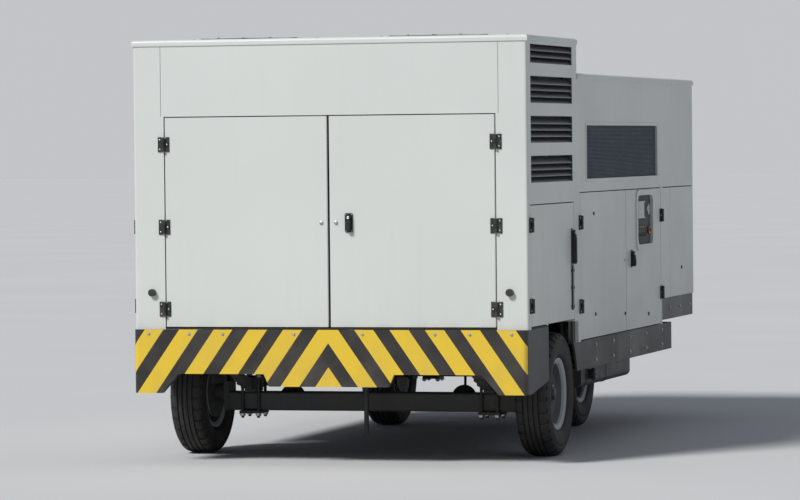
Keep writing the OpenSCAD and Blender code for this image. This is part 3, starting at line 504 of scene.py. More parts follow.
class Shading:
    """The node tree of one material under its Principled shader."""

    def __init__(self, name: str) -> None:
        """Starts a material.

        Args:
            name: The material's name.
        """
        self.material = bpy.data.materials.new(name)
        self.material.use_nodes = True
        self.tree = self.material.node_tree
        self.shader = self.tree.nodes["Principled BSDF"]

    def set(self, **values: float | Sequence[float]) -> None:
        """Sets constant sockets of the shader.

        Args:
            values: The value of each socket, named with underscores for spaces.
        """
        for name, value in values.items():
            socket = self.shader.inputs[name.replace("_", " ").title().replace("Ior", "IOR")]
            socket.default_value = (*value, 1.0) if isinstance(value, tuple) else value

    def add(self, kind: str, **settings: object) -> bpy.types.Node:
        """Adds a node.

        Args:
            kind: Blender's name of the node's type, without its common prefix.
            settings: Attributes of the node.

        Returns:
            The node.
        """
        node = self.tree.nodes.new("ShaderNode" + kind)
        for name, value in settings.items():
            setattr(node, name, value)
        return node

    def feed(self, node: bpy.types.Node, **values: object) -> bpy.types.Node:
        """Gives a node's sockets values or links.

        Args:
            node: The node.
            values: For each socket, named with underscores for spaces, a number, colour or socket.

        Returns:
            The node.
        """
        for name, value in values.items():
            socket = node.inputs[int(name[1:]) if name[0] == "i" and name[1:].isdigit()
                                 else name.replace("_", " ").title()]
            if isinstance(value, Socket):
                self.tree.links.new(value, socket)
            else:
                socket.default_value = (*value, 1.0) if isinstance(value, tuple) and len(
                    socket.default_value) == 4 else value
        return node

    def where(self, scale: Triple = (1, 1, 1)) -> Socket:
        """Returns Object coordinates, scaled."""
        source = self.add("TexCoord").outputs["Object"]
        return self.feed(self.add("Mapping"), vector=source, scale=scale).outputs["Vector"]

    def part(self, vector: Socket, letter: str) -> Socket:
        """Returns the X, Y or Z part of a vector."""
        return self.feed(self.add("SeparateXYZ"), vector=vector).outputs[letter]

    def facing(self, letter: str) -> Socket:
        """Returns how far a surface faces along the piece's X, Y or Z."""
        return self.part(self.add("TexCoord").outputs["Normal"], letter)

    def noise(self, scale: float, detail: float, vector: Socket | None = None) -> Socket:
        """Returns smooth noise of about 0 to 1."""
        return self.feed(self.add("TexNoise"), vector=vector or self.where(), scale=scale,
                         detail=detail, roughness=0.55).outputs["Fac"]

    def sum(self, kind: str, a: object, b: object = 0.0) -> Socket:
        """Returns the result of a Math node."""
        return self.feed(self.add("Math", operation=kind), i0=a, i1=b).outputs[0]

    def span(self, value: Socket, low: float, high: float, to_low: float = 0.0,
             to_high: float = 1.0) -> Socket:
        """Returns a value brought from one range to another and held there."""
        return self.feed(self.add("MapRange"), i0=value, i1=low, i2=high, i3=to_low,
                         i4=to_high).outputs[0]

    def between(self, value: Socket, low: float, high: float) -> Socket:
        """Returns 1 where a value lies between two numbers, else 0."""
        return self.sum("MULTIPLY", self.sum("GREATER_THAN", value, low),
                        self.sum("LESS_THAN", value, high))

    def mix(self, share: object, a: object, b: object) -> Socket:
        """Returns a mix of two colours."""
        node = self.add("Mix", data_type="RGBA")
        return self.feed(node, i0=share, i6=a, i7=b).outputs[2]

    def relief(self, height: Socket, distance: float, under: Socket | None = None) -> Socket:
        """Returns a normal that a height bends.

        Args:
            height: The height, of about 0 to 1.
            distance: Its scale in metres.
            under: A normal that it builds on.

        Returns:
            The bent normal.
        """
        node = self.feed(self.add("Bump"), height=height, distance=distance, strength=1.0)
        if under:
            self.feed(node, normal=under)
        return node.outputs["Normal"]

    def finish(self, colour: Socket | None = None,
               roughness: Socket | None = None,
               normal: Socket | None = None) -> bpy.types.Material:
        """Wires what varies into the shader.

        Args:
            colour: The colour, where it varies.
            roughness: The roughness, where it varies.
            normal: The bent normal, where there is one.

        Returns:
            The material.
        """
        for name, value in (("Base Color", colour), ("Roughness", roughness), ("Normal", normal)):
            if value is not None:
                self.tree.links.new(value, self.shader.inputs[name])
        return self.material


@dataclass(frozen=True)
class Paint:
    """Sprayed paint with dust that settles low down, faint run-off streaks and an orange-peel skin."""

    name: str
    colour: Triple
    dust: Triple = (0.42, 0.39, 0.34)
    dust_share: float = 0.25
    dust_top: float = 1.0
    gloss: float = 0.38
    peel: float = 0.00012

    def mask(self, s: Shading) -> Socket | None:
        """Returns where the paint is the second colour, or None where it never is."""
        return None

    def second(self) -> Triple:
        """Returns the second colour."""
        return self.colour

    def material(self) -> bpy.types.Material:
        """Builds it.

        Returns:
            The material.
        """
        s = Shading(self.name)
        s.set(specular_ior_level=0.36, coat_weight=0.06, coat_roughness=0.15)
        patches = s.noise(2.3, 5.0)
        streaks = s.noise(6.0, 4.0, s.where(scale=(3.0, 3.0, 0.18)))
        height = s.part(s.where(), "Z")
        low = s.span(height, self.dust_top, 0.25, 0.0, 1.0)
        film = s.sum("MULTIPLY", s.span(patches, 0.35, 0.75), s.sum("ADD", low, 0.16))
        runs = s.span(streaks, 0.52, 0.78, 0.0, 0.22)
        up = s.span(s.facing("Z"), 0.6, 1.0, 0.0, 0.5)
        dirt = s.sum("MULTIPLY", s.sum("MAXIMUM", s.sum("ADD", film, runs), up), self.dust_share)
        tone = s.mix(s.span(s.noise(0.9, 2.0), 0.3, 0.7), self.colour, darker(self.colour, 0.94))
        mask = self.mask(s)
        if mask is not None:
            tone = s.mix(mask, tone, self.second())
            dirt = s.sum("MULTIPLY", dirt, s.sum("SUBTRACT", 1.0, s.sum("MULTIPLY", mask, 0.7)))
        colour = s.mix(dirt, tone, self.dust)
        roughness = s.sum("ADD", s.span(patches, 0.2, 0.8, self.gloss - 0.06, self.gloss + 0.1), dirt)
        return s.finish(colour, roughness, s.relief(s.noise(260.0, 2.0), self.peel))


@dataclass(frozen=True)
class LouvrePaint(Paint):
    """Paint whose set-back parts, the blades, are dark slate as painted shade in the louvre openings."""

    face: float = 1.15
    # Dark slate painted on the blades behind the face, as painted shade in the openings.
    slate: Triple = (0.066, 0.074, 0.088)

    def mask(self, s: Shading) -> Socket:
        """Returns where the surface lies behind the outer face."""
        return s.sum("LESS_THAN", s.sum("ABSOLUTE", s.part(s.where(), "X")), self.face - 0.0025)

    def second(self) -> Triple:
        """Returns the blades' colour, a painted shade."""
        return self.slate


@dataclass(frozen=True)
class RimPaint(Paint):
    """Dark wheel paint, darkened as painted shade of the recessed disc, with pale lips at the rims'
    outer and inner edges as painted highlights.
    """

    lips: Outline = ((0.505, 0.525), (0.648, 0.675), (0.945, 0.965), (1.088, 1.115))
    # Pale colour on the lips, a painted highlight where the rim edges catch light.
    lip: Triple = (0.42, 0.43, 0.43)

    def mask(self, s: Shading) -> Socket:
        """Finds the lips.

        Args:
            s: The material's tree.

        Returns:
            Where the surface lies between a lip's two distances from the middle.
        """
        across = s.sum("ABSOLUTE", s.part(s.where(), "X"))
        found = 0.0
        for low, high in self.lips:
            found = s.sum("MAXIMUM", found, s.between(across, low, high))
        return found

    def second(self) -> Triple:
        """Returns the lips' colour, a painted highlight."""
        return self.lip


@dataclass(frozen=True)
class DoorPaint(Paint):
    """Paint whose proud parts, the handles and hinges, are black, apart from a window's frame."""

    face: float = 1.15
    rear: float = -2.932
    frame_low: tuple[float, float] = (0.0, 0.0)
    frame_high: tuple[float, float] = (0.0, 0.0)
    proud: float = 0.0015
    black: Triple = (0.016, 0.016, 0.017)

    def mask(self, s: Shading) -> Socket:
        """Finds the handles and hinges.

        Args:
            s: The material's tree.

        Returns:
            Where the surface stands off the doors' faces.
        """
        place = s.where()
        across, along, height = (s.part(place, letter) for letter in "XYZ")
        proud = s.sum("MAXIMUM", s.sum("LESS_THAN", along, self.rear - self.proud),
                      s.sum("GREATER_THAN", s.sum("ABSOLUTE", across), self.face + self.proud))
        framed = s.sum("GREATER_THAN", across, 0.0)
        for value, low, high in ((along, self.frame_low[0], self.frame_high[0]),
                                 (height, self.frame_low[1], self.frame_high[1])):
            framed = s.sum("MULTIPLY", framed, s.between(value, low, high))
        return s.sum("MULTIPLY", proud, s.sum("SUBTRACT", 1.0, framed))

    def second(self) -> Triple:
        """Returns the handles' colour."""
        return self.black


@dataclass(frozen=True)
class Foam:
    """Dark sound-deadening foam with pyramid-like cells, lighter on their peaks and darker in the
    valleys between them as painted shade.
    """

    name: str = "foam_lining"
    colour: Triple = (0.035, 0.036, 0.038)
    pitch: float = 0.03
    depth: float = 0.012

    def material(self) -> bpy.types.Material:
        """Builds it.

        Returns:
            The material.
        """
        s = Shading(self.name)
        s.set(specular_ior_level=0.15)
        cell = s.feed(s.add("TexVoronoi", distance="CHEBYCHEV"), vector=s.where(),
                      scale=1 / self.pitch, randomness=0.0).outputs["Distance"]
        # Cell peaks painted lighter and valleys darker: painted shade in the creases between cells.
        colour = s.mix(s.span(cell, 0.1, 0.5), darker(self.colour, 1.5), self.colour)
        roughness = s.span(s.noise(40.0, 3.0), 0.2, 0.8, 0.85, 0.98)
        return s.finish(colour, roughness, s.relief(cell, -self.depth))


@dataclass(frozen=True)
class Stripes:
    """Yellow and black film in slanting bands that meet in the middle, on one face of a board whose
    other faces are dark grey, partly painted shade.
    """

    name: str = "hazard_stripes"
    yellow: Triple = (0.78, 0.53, 0.035)
    black: Triple = (0.022, 0.02, 0.018)
    # Dark grey of the board's other faces, partly painted shade.
    back: Triple = (0.042, 0.048, 0.054)
    grime: Triple = (0.20, 0.17, 0.13)
    bare: Triple = (0.34, 0.33, 0.30)
    dust: Triple = (0.15, 0.14, 0.125)
    depth: float = 0.018
    pitch: float = 0.205
    yellow_share: float = 0.54
    inner_edge: float = -0.052
    slant: float = 0.70
    top: float = 0.76
    face_y: float = 0.0

    def material(self) -> bpy.types.Material:
        """Builds it.

        Returns:
            The material.
        """
        s = Shading(self.name)
        s.set(coat_weight=0.08, coat_roughness=0.2)
        place = s.where()
        drop = s.sum("MULTIPLY", s.sum("SUBTRACT", self.top, s.part(place, "Z")), self.slant)
        across = s.sum("SUBTRACT", s.sum("ABSOLUTE", s.part(place, "X")), drop)
        bands = s.sum("DIVIDE", s.sum("SUBTRACT", across, self.inner_edge), self.pitch)
        turn = s.sum("FRACT", s.sum("ADD", bands, 20.0))
        band = s.sum("LESS_THAN", turn, self.yellow_share)
        in_front = s.sum("LESS_THAN", s.part(place, "Y"), self.face_y + self.depth)
        wear = s.noise(5.0, 6.0)
        low = s.span(s.part(place, "Z"), 0.62, 0.40, 0.0, 0.30)
        film = s.mix(band, self.black, self.yellow)
        dirt = s.sum("MULTIPLY", s.span(wear, 0.42, 0.8), s.sum("ADD", low, 0.16))
        film = s.mix(dirt, film, self.grime)
        nicks = s.span(s.noise(55.0, 4.0), 0.72, 0.76, 0.0, 0.5)
        film = s.mix(nicks, film, self.bare)
        # The board's back and edges: dark grey, partly painted shade, with dust.
        board = s.mix(s.span(wear, 0.3, 0.8, 0.0, 0.25), self.back, self.dust)
        colour = s.mix(in_front, board, film)
        roughness = s.sum("ADD", s.span(wear, 0.3, 0.8, 0.26, 0.5), s.sum("MULTIPLY", nicks, 0.3))
        roughness = s.sum("ADD", roughness, s.sum("MULTIPLY", s.sum("SUBTRACT", 1.0, in_front), 0.35))
        edge = s.sum("MULTIPLY", s.sum("PINGPONG", turn, 0.5), in_front)
        step = s.relief(s.span(edge, 0.0, 0.02), 0.0002)
        return s.finish(colour, roughness, s.relief(s.noise(180.0, 2.0), 0.0001, under=step))


@dataclass(frozen=True)
class Rubber:
    """Black rubber with grey road dust in its recesses."""

    name: str
    colour: Triple = (0.021, 0.021, 0.022)
    dust: Triple = (0.135, 0.12, 0.10)
    dust_share: float = 0.35
    gloss: float = 0.62

    def material(self) -> bpy.types.Material:
        """Builds it.

        Returns:
            The material.
        """
        s = Shading(self.name)
        s.set(specular_ior_level=0.35)
        cloud = s.noise(9.0, 5.0)
        speck = s.noise(70.0, 4.0)
        dirt = s.sum("MULTIPLY", s.span(cloud, 0.35, 0.7), s.span(speck, 0.3, 0.7))
        share = s.sum("MULTIPLY", dirt, self.dust_share)
        colour = s.mix(share, self.colour, self.dust)
        roughness = s.span(cloud, 0.3, 0.7, self.gloss, self.gloss + 0.2)
        return s.finish(colour, roughness, s.relief(s.noise(420.0, 3.0), 0.00018))


@dataclass(frozen=True)
class Metal:
    """Bare or plated metal, brushed along one direction and dulled in patches."""

    name: str
    colour: Triple
    stain: Triple = (0.18, 0.15, 0.12)
    stain_share: float = 0.35
    gloss: float = 0.34
    metallic: float = 0.9
    grain: Triple = (40.0, 6.0, 40.0)

    def material(self) -> bpy.types.Material:
        """Builds it.

        Returns:
            The material.
        """
        s = Shading(self.name)
        s.set(metallic=self.metallic)
        grain = s.noise(8.0, 3.0, s.where(scale=self.grain))
        patch = s.noise(7.0, 6.0)
        share = s.span(patch, 0.45, 0.8, 0.0, self.stain_share)
        brushed = s.mix(s.span(grain, 0.3, 0.7), self.colour, darker(self.colour, 0.82))
        colour = s.mix(share, brushed, self.stain)
        roughness = s.sum("ADD", s.span(grain, 0.3, 0.7, self.gloss - 0.08, self.gloss + 0.08),
                          s.sum("MULTIPLY", share, 0.6))
        return s.finish(colour, roughness, s.relief(grain, 0.00006))


@dataclass(frozen=True)
class Moulding:
    """Moulded plastic or a powder coat with a fine pebbled skin."""

    name: str
    colour: Triple
    gloss: float = 0.45
    pebble: float = 320.0
    depth: float = 0.0001
    dust: Triple = (0.24, 0.22, 0.19)
    dust_share: float = 0.18

    def material(self) -> bpy.types.Material:
        """Builds it.

        Returns:
            The material.
        """
        s = Shading(self.name)
        cloud = s.noise(11.0, 4.0)
        up = s.span(s.facing("Z"), 0.4, 1.0, 0.0, 1.0)
        share = s.sum("MULTIPLY", s.sum("ADD", s.span(cloud, 0.4, 0.8), up), self.dust_share)
        colour = s.mix(share, self.colour, self.dust)
        roughness = s.span(cloud, 0.3, 0.7, self.gloss - 0.05, self.gloss + 0.12)
        skin = s.feed(s.add("TexVoronoi"), vector=s.where(), scale=self.pebble).outputs["Distance"]
        return s.finish(colour, roughness, s.relief(skin, self.depth))


@dataclass(frozen=True)
class Fins:
    """A heat exchanger's block of thin upright fins with tube rows behind them; the gaps between the
    fins are painted near-black as painted shade.
    """

    name: str = "coil_fins"
    fin: Triple = (0.17, 0.175, 0.18)
    bent_fin: Triple = (0.09, 0.085, 0.075)
    # Near-black painted shade for the gaps between the fins.
    gap: Triple = (0.012, 0.012, 0.013)
    pitch: float = 0.006
    tube_pitch: float = 0.038

    def material(self) -> bpy.types.Material:
        """Builds it.

        Returns:
            The material.
        """
        s = Shading(self.name)
        s.set(metallic=0.55)
        place = s.where()
        blade = s.sum("PINGPONG", s.sum("DIVIDE", s.part(place, "Y"), self.pitch), 0.5)
        rows = s.sum("PINGPONG", s.sum("DIVIDE", s.part(place, "Z"), self.tube_pitch), 0.5)
        bent = s.span(s.noise(14.0, 4.0), 0.35, 0.7)
        share = s.sum("MULTIPLY", s.span(blade, 0.18, 0.32), s.span(rows, 0.05, 0.2, 0.4, 1.0))
        # The gaps between the fins get the gap colour as painted shade; the tube rows darken them
        # further.
        colour = s.mix(share, self.gap, s.mix(bent, self.fin, self.bent_fin))
        roughness = s.span(bent, 0.0, 1.0, 0.42, 0.7)
        return s.finish(colour, roughness, s.relief(share, 0.0012))


@dataclass(frozen=True)
class Glossy:
    """A glossy dark pane or lens with faint smears."""

    name: str
    colour: Triple
    gloss: float = 0.08

    def material(self) -> bpy.types.Material:
        """Builds it.

        Returns:
            The material.
        """
        s = Shading(self.name)
        s.set(specular_ior_level=0.6, coat_weight=0.5, coat_roughness=0.05)
        smear = s.noise(14.0, 5.0, s.where(scale=(1.0, 0.6, 2.4)))
        smeared = tuple(min(1.0, c * 1.35 + 0.01) for c in self.colour)
        colour = s.mix(s.span(smear, 0.35, 0.8), self.colour, smeared)
        roughness = s.span(smear, 0.3, 0.8, self.gloss, self.gloss + 0.16)
        return s.finish(colour, roughness, s.relief(s.noise(30.0, 2.0), 0.00004))


class Store:
    """Makes each finish once and hands out its material."""

    def __init__(self, places: "Places") -> None:
        """Lists the finishes.

        Args:
            places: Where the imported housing's faces are.
        """
        white = (0.67, 0.695, 0.66)
        panel_low, panel_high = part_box("control_panel")
        margin = 0.05
        self.finishes = {
            "body": Paint("white_paint", white),
            "louvre": LouvrePaint("louvre_paint", white, face=places.half),
            "door": DoorPaint("door_paint", white, face=places.half, rear=places.rear,
                              frame_low=(panel_low.y - margin, panel_low.z - margin),
                              frame_high=(panel_high.y + margin, panel_high.z + margin)),
            "foam": Foam(),
            "net": Moulding("mesh_wire", (0.042, 0.074, 0.100), gloss=0.5, dust_share=0.14),
            "frame": Paint("dark_frame_paint", (0.042, 0.047, 0.048), dust=(0.2, 0.18, 0.155),
                           dust_share=0.35, dust_top=0.9, gloss=0.5),
            "spring": Paint("spring_paint", (0.028, 0.028, 0.03), dust=(0.17, 0.15, 0.125),
                            dust_share=0.55, dust_top=0.8, gloss=0.55),
            "slate": Paint("slate_paint", (0.022, 0.028, 0.038), dust=(0.2, 0.19, 0.17),
                           dust_share=0.25, dust_top=0.9, gloss=0.45),
            # Rims: the dark colour is painted shade of the recessed disc; the lips get a painted
            # highlight.
            "rim": RimPaint("wheel_paint", (0.085, 0.088, 0.09), dust=(0.2, 0.175, 0.15),
                            dust_share=0.4, dust_top=0.9, gloss=0.42),
            "sealant": Moulding("sealant_bead", (0.27, 0.28, 0.28), gloss=0.5),
            "stripes": Stripes(face_y=places.board_face),
            "tyre": Rubber("tyre_rubber"),
            "seal": Rubber("seal_rubber", (0.016, 0.016, 0.017), dust_share=0.12, gloss=0.55),
            "black": Moulding("black_coat", (0.018, 0.018, 0.019)),
            "lever": Moulding("lever_plastic", (0.012, 0.012, 0.013), gloss=0.3),
            "tank": Moulding("tank_coat", (0.03, 0.032, 0.036), gloss=0.5, pebble=180.0),
            "fan": Moulding("fan_moulding", (0.028, 0.03, 0.034), gloss=0.4),
            "grille": Moulding("grille_coat", (0.026, 0.044, 0.058), gloss=0.5, dust_share=0.14),
            "red": Moulding("red_button", (0.5, 0.02, 0.015), gloss=0.3),
            "amber": Glossy("amber_lens", (0.6, 0.19, 0.02)),
            "green": Glossy("green_lens", (0.03, 0.28, 0.06)),
            "display": Glossy("display_glass", (0.012, 0.017, 0.015), gloss=0.05),
            "yellow": Moulding("yellow_collar", (0.62, 0.40, 0.02), gloss=0.35),
            "filter": Moulding("filter_paint", (0.42, 0.43, 0.42), gloss=0.3, dust_share=0.3),
            "screen": Moulding("panel_plate", (0.030, 0.041, 0.050), gloss=0.62, dust_share=0.08),
            "dial": Moulding("dial_face", (0.5, 0.51, 0.5), gloss=0.35),
            "zinc": Metal("zinc_plate", (0.52, 0.53, 0.54)),
            "collar": Metal("collar_steel", (0.46, 0.47, 0.48), gloss=0.42),
            "exhaust": Metal("heat_steel", (0.26, 0.22, 0.18), (0.10, 0.06, 0.04), 0.6, 0.5, 0.8),
            "cast": Metal("cast_iron", (0.13, 0.135, 0.14), (0.09, 0.07, 0.05), 0.5, 0.6, 0.5,
                          (12.0, 12.0, 12.0)),
            "copper": Metal("copper_pipe", (0.55, 0.28, 0.17), (0.16, 0.10, 0.06), 0.4),
            "coil": Fins(),
        }
        self.made: dict[str, bpy.types.Material] = {}

    def __getitem__(self, key: str) -> bpy.types.Material:
        """Makes a finish's material at its first use.

        Args:
            key: The finish's key.

        Returns:
            The material.
        """
        if key not in self.made:
            self.made[key] = self.finishes[key].material()
        return self.made[key]


@dataclass(frozen=True)
class Places:
    """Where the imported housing's faces are, read from the frame."""

    rear: float
    split: float
    half: float
    tall_eave: float
    front: float
    low_eave: float
    low_flat: float
    deck: float
    board_face: float

    @classmethod
    def read(cls) -> "Places":
        """Reads the faces.

        Returns:
            Where they are.
        """
        low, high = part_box("tall_posts")
        return cls(low.y, high.y, high.x, high.z, front=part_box("front_panel")[1].y,
                   low_eave=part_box("low_posts")[1].z, low_flat=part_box("exhaust_stack")[0].z,
                   deck=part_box("floor_pan")[1].z, board_face=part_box("rear_board")[0].y)


@dataclass
class Assembly:
    """A group of pieces that share one way of being dressed."""

    places: Places
    store: Store

    def dress(self, piece: Piece, finish: str, body: str = "body", slot: str | None = None) -> Piece:
        """Gives a new piece its finish and the body that it moves with.

        Args:
            piece: The new piece.
            finish: A finish's key in the store.
            body: A body of the frame.
            slot: The record's material slot, where one fits; it is not used.

        Returns:
            The piece.
        """
        piece.data.materials.clear()
        piece.data.materials.append(self.store[finish])
        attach(piece, body)
        log.info("%s: %s on %s, %d faces", piece.name, finish, body, len(piece.data.polygons))
        return piece

    def coat(self, finish: str, *nodes: str) -> None:
        """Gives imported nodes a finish.

        Args:
            finish: A finish's key in the store.
            nodes: Names of nodes.
        """
        for name in nodes:
            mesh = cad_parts[name].data
            mesh.materials.clear()
            mesh.materials.append(self.store[finish])
            log.info("%s: %s", name, finish)

    def bolt(self, name: str, places: Sequence[Point], axis: Axis, sign: int = 1,
             radius: float = 0.008, height: float = 0.006, body: str = "body") -> None:
        """Puts in zinc-plated bolt heads.

        Args:
            name: The name of the whole.
            places: Where each head meets its face.
            axis: The direction that the heads point in.
            sign: 1 to point along the axis, -1 against it.
            radius: Radius of a head across its corners.
            height: Height of a head.
            body: The body that they move with.
        """
        self.dress(bolts(name, places, axis, sign, radius, height), "zinc", body)

    def nuts(self, name: str, middle: tuple[float, float], apart: tuple[float, float],
             zs: tuple[float, float], radius: float, heights: tuple[float, float], body: str) -> None:
        """Puts four nuts under and four over a spring's clamp plates, at either side.

        Args:
            name: The start of their names.
            middle: Middle of the right-hand four, as X and Y.
            apart: How far each is from the middle across and along.
            zs: Height of the lower and the upper faces.
            radius: Radius of a nut across its corners.
            heights: Height of a lower and of an upper nut.
            body: The body that they move with.
        """
        places = [(side.value * middle[0] + a * apart[0], middle[1] + b * apart[1])
                  for side in Side for a in (-1, 1) for b in (-1, 1)]
        for word, sign, z, height in zip(("low", "high"), (-1, 1), zs, heights):
            self.bolt(f"{name}_{word}", [(*p, z) for p in places], Axis.Z, sign, radius, height, body)


@dataclass
class Housing(Assembly):
    """Posts, panels, roofs and what is fixed to them."""

    rivet: float = 0.0035
    rivet_pitch: float = 0.16
    rivet_end: float = 0.05
    rivets_across: int = 15
    rivet_span: float = 0.94
    eave_up: float = 0.0085
    joint: float = 0.018
    latch_radius: float = 0.011
    fixed_latch: tuple[float, float] = (4.20, 0.98)
    header: Triple = (0.986, 1.966, 2.362)
    bead: float = 0.0018
    post_half: float = 0.024
    post_over: float = 0.006
    post_fold: tuple[float, float] = (0.008, 0.004)

    def roof_rivets(self) -> None:
        """Rivets the roof caps along their sides and their outer ends."""
        at = self.places
        for name, eave, sign in (("tall_roof", at.tall_eave, -1), ("low_roof", at.low_eave, 1)):
            low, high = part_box(name)
            z = eave + self.eave_up
            run = high.y - low.y - 2 * self.rivet_end
            count = round(run / self.rivet_pitch)
            step = run / count
            for side in Side:
                x, start = side.value * high.x, low.y + self.rivet_end
                places = [(x, start + i * step, z) for i in range(count + 1)]
                heads = rivets(f"rivets_{name}_{side.word}", places, Axis.X, side.value, self.rivet)
                self.dress(heads, "body", "body", "body")
            end, half_count = (low.y if sign < 0 else high.y), self.rivets_across // 2
            places = [(high.x * (i / half_count - 1) * self.rivet_span, end, z)
                      for i in range(self.rivets_across)]
            heads = rivets(f"rivets_{name}_end", places, Axis.Y, sign, self.rivet)
            self.dress(heads, "body", "body", "body")

    def stop_post(self, word: str, low: Point, high: Point, out: Vector) -> None:
        """Stands a folded stop post behind the gap of a pair of doors.

        Args:
            word: The end of its name.
            low: One corner.
            high: The opposite corner.
            out: The direction from the post to the doors.
        """
        post = block(f"stop_post_{word}", low, high, 0.003)
        on_faces(post, lambda face: face.normal.dot(out) > 0.9, inset(*self.post_fold))
        self.dress(post, "black")

    def stop_posts(self) -> None:
        """Stands a stop post behind each pair of doors."""
        half, over = self.post_half, self.post_over
        for side in Side:
            sign = side.value
            low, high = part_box(f"door_side_{side.word}_1")
            y = (high.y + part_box(f"door_side_{side.word}_2")[0].y) / 2
            inner = low.x if side is Side.RIGHT else high.x
            self.stop_post(side.word, (inner - sign * 0.004, y - half, low.z - 0.004),
                           (inner - sign * 0.030, y + half, high.z + over), Vector((sign, 0, 0)))
        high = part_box("door_rear_left")[1]
        self.stop_post("rear", (-half, high.y + 0.004, self.places.deck + 0.0005),
                       (half, high.y + 0.016, high.z + over), Vector((0, -1, 0)))

    def joint_strip(self) -> None:
        """Seals the step between the two roofs."""
        at = self.places
        strip = block("roof_joint", (-at.half + 0.01, at.split - 0.0005, at.low_flat - 0.024),
                      (at.half - 0.01, at.split + self.joint, at.low_flat + 0.005), 0.005, 3)
        self.dress(strip, "seal")

    def sill_strips(self) -> None:
        """Lays rubber strips under the doors of the striped end."""
        at = self.places
        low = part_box("door_rear_left")[0]
        strip = block("sill_strip_rear", (low.x + 0.004, at.rear + 0.001, low.z - 0.0145),
                      (-low.x - 0.004, at.rear + 0.036, low.z - 0.0065), 0.002)
        self.dress(strip, "seal")
        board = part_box("rear_board")[1]
        for side in Side:
            outer, inner = side.value * (at.half - 0.004), side.value * (at.half - 0.028)
            strip = block(f"sill_strip_{side.word}", (inner, at.rear + 0.061, board.z - 0.0005),
                          (outer, board.y - 0.002, board.z + 0.0095), 0.002)
            self.dress(strip, "seal")

    def header_joints(self) -> None:
        """Seals the upright joints between the rear header and the corner posts."""
        x, low, high = self.header
        rear = self.places.rear
        beads = [block("bead", (side.value * x - self.bead, rear - 0.0006, low),
                       (side.value * x + self.bead, rear + 0.001, high), 0.0004) for side in Side]
        self.dress(joined("header_joints", beads), "sealant")

    def fixed_latches(self) -> None:
        """Adds a quarter-turn latch on the fixed panel at either side."""
        along, up = self.fixed_latch
        for side in Side:
            place = (side.value * self.places.half, self.places.rear + along, up)
            latch = quarter_turn(f"panel_latch_{side.word}", place, Axis.X, side.value,
                                 self.latch_radius)
            self.dress(latch, "black")

    def build(self) -> None:
        """Dresses the housing."""
        self.coat("body", "tall_posts", "tall_roof", "bulkhead", "low_posts", "low_roof",
                  "fixed_panels", "front_panel")
        self.coat("louvre", "louvre_panels")
        self.coat("frame", "floor_pan")
        self.roof_rivets()
        self.joint_strip()
        self.header_joints()
        self.stop_posts()
        self.sill_strips()
        self.fixed_latches()


@dataclass(frozen=True)
class Leaf:
    """Where one closed door leaf lies, seen from its lower corner at the hinges."""

    name: str
    corner: Vector
    along: Vector
    out: Vector
    width: float
    height: float

    def at(self, along: float, up: float, out: float = 0.0) -> Vector:
        """Returns the point this far from the hinges, this high and this far off the face."""
        return self.corner + self.along * along + Vector((0, 0, up)) + self.out * out

    @property
    def way(self) -> tuple[Axis, int]:
        """Returns the axis that the leaf faces along, and -1 where it faces against it, else 1."""
        return (Axis.X if self.out.x else Axis.Y), round(self.out.x + self.out.y)


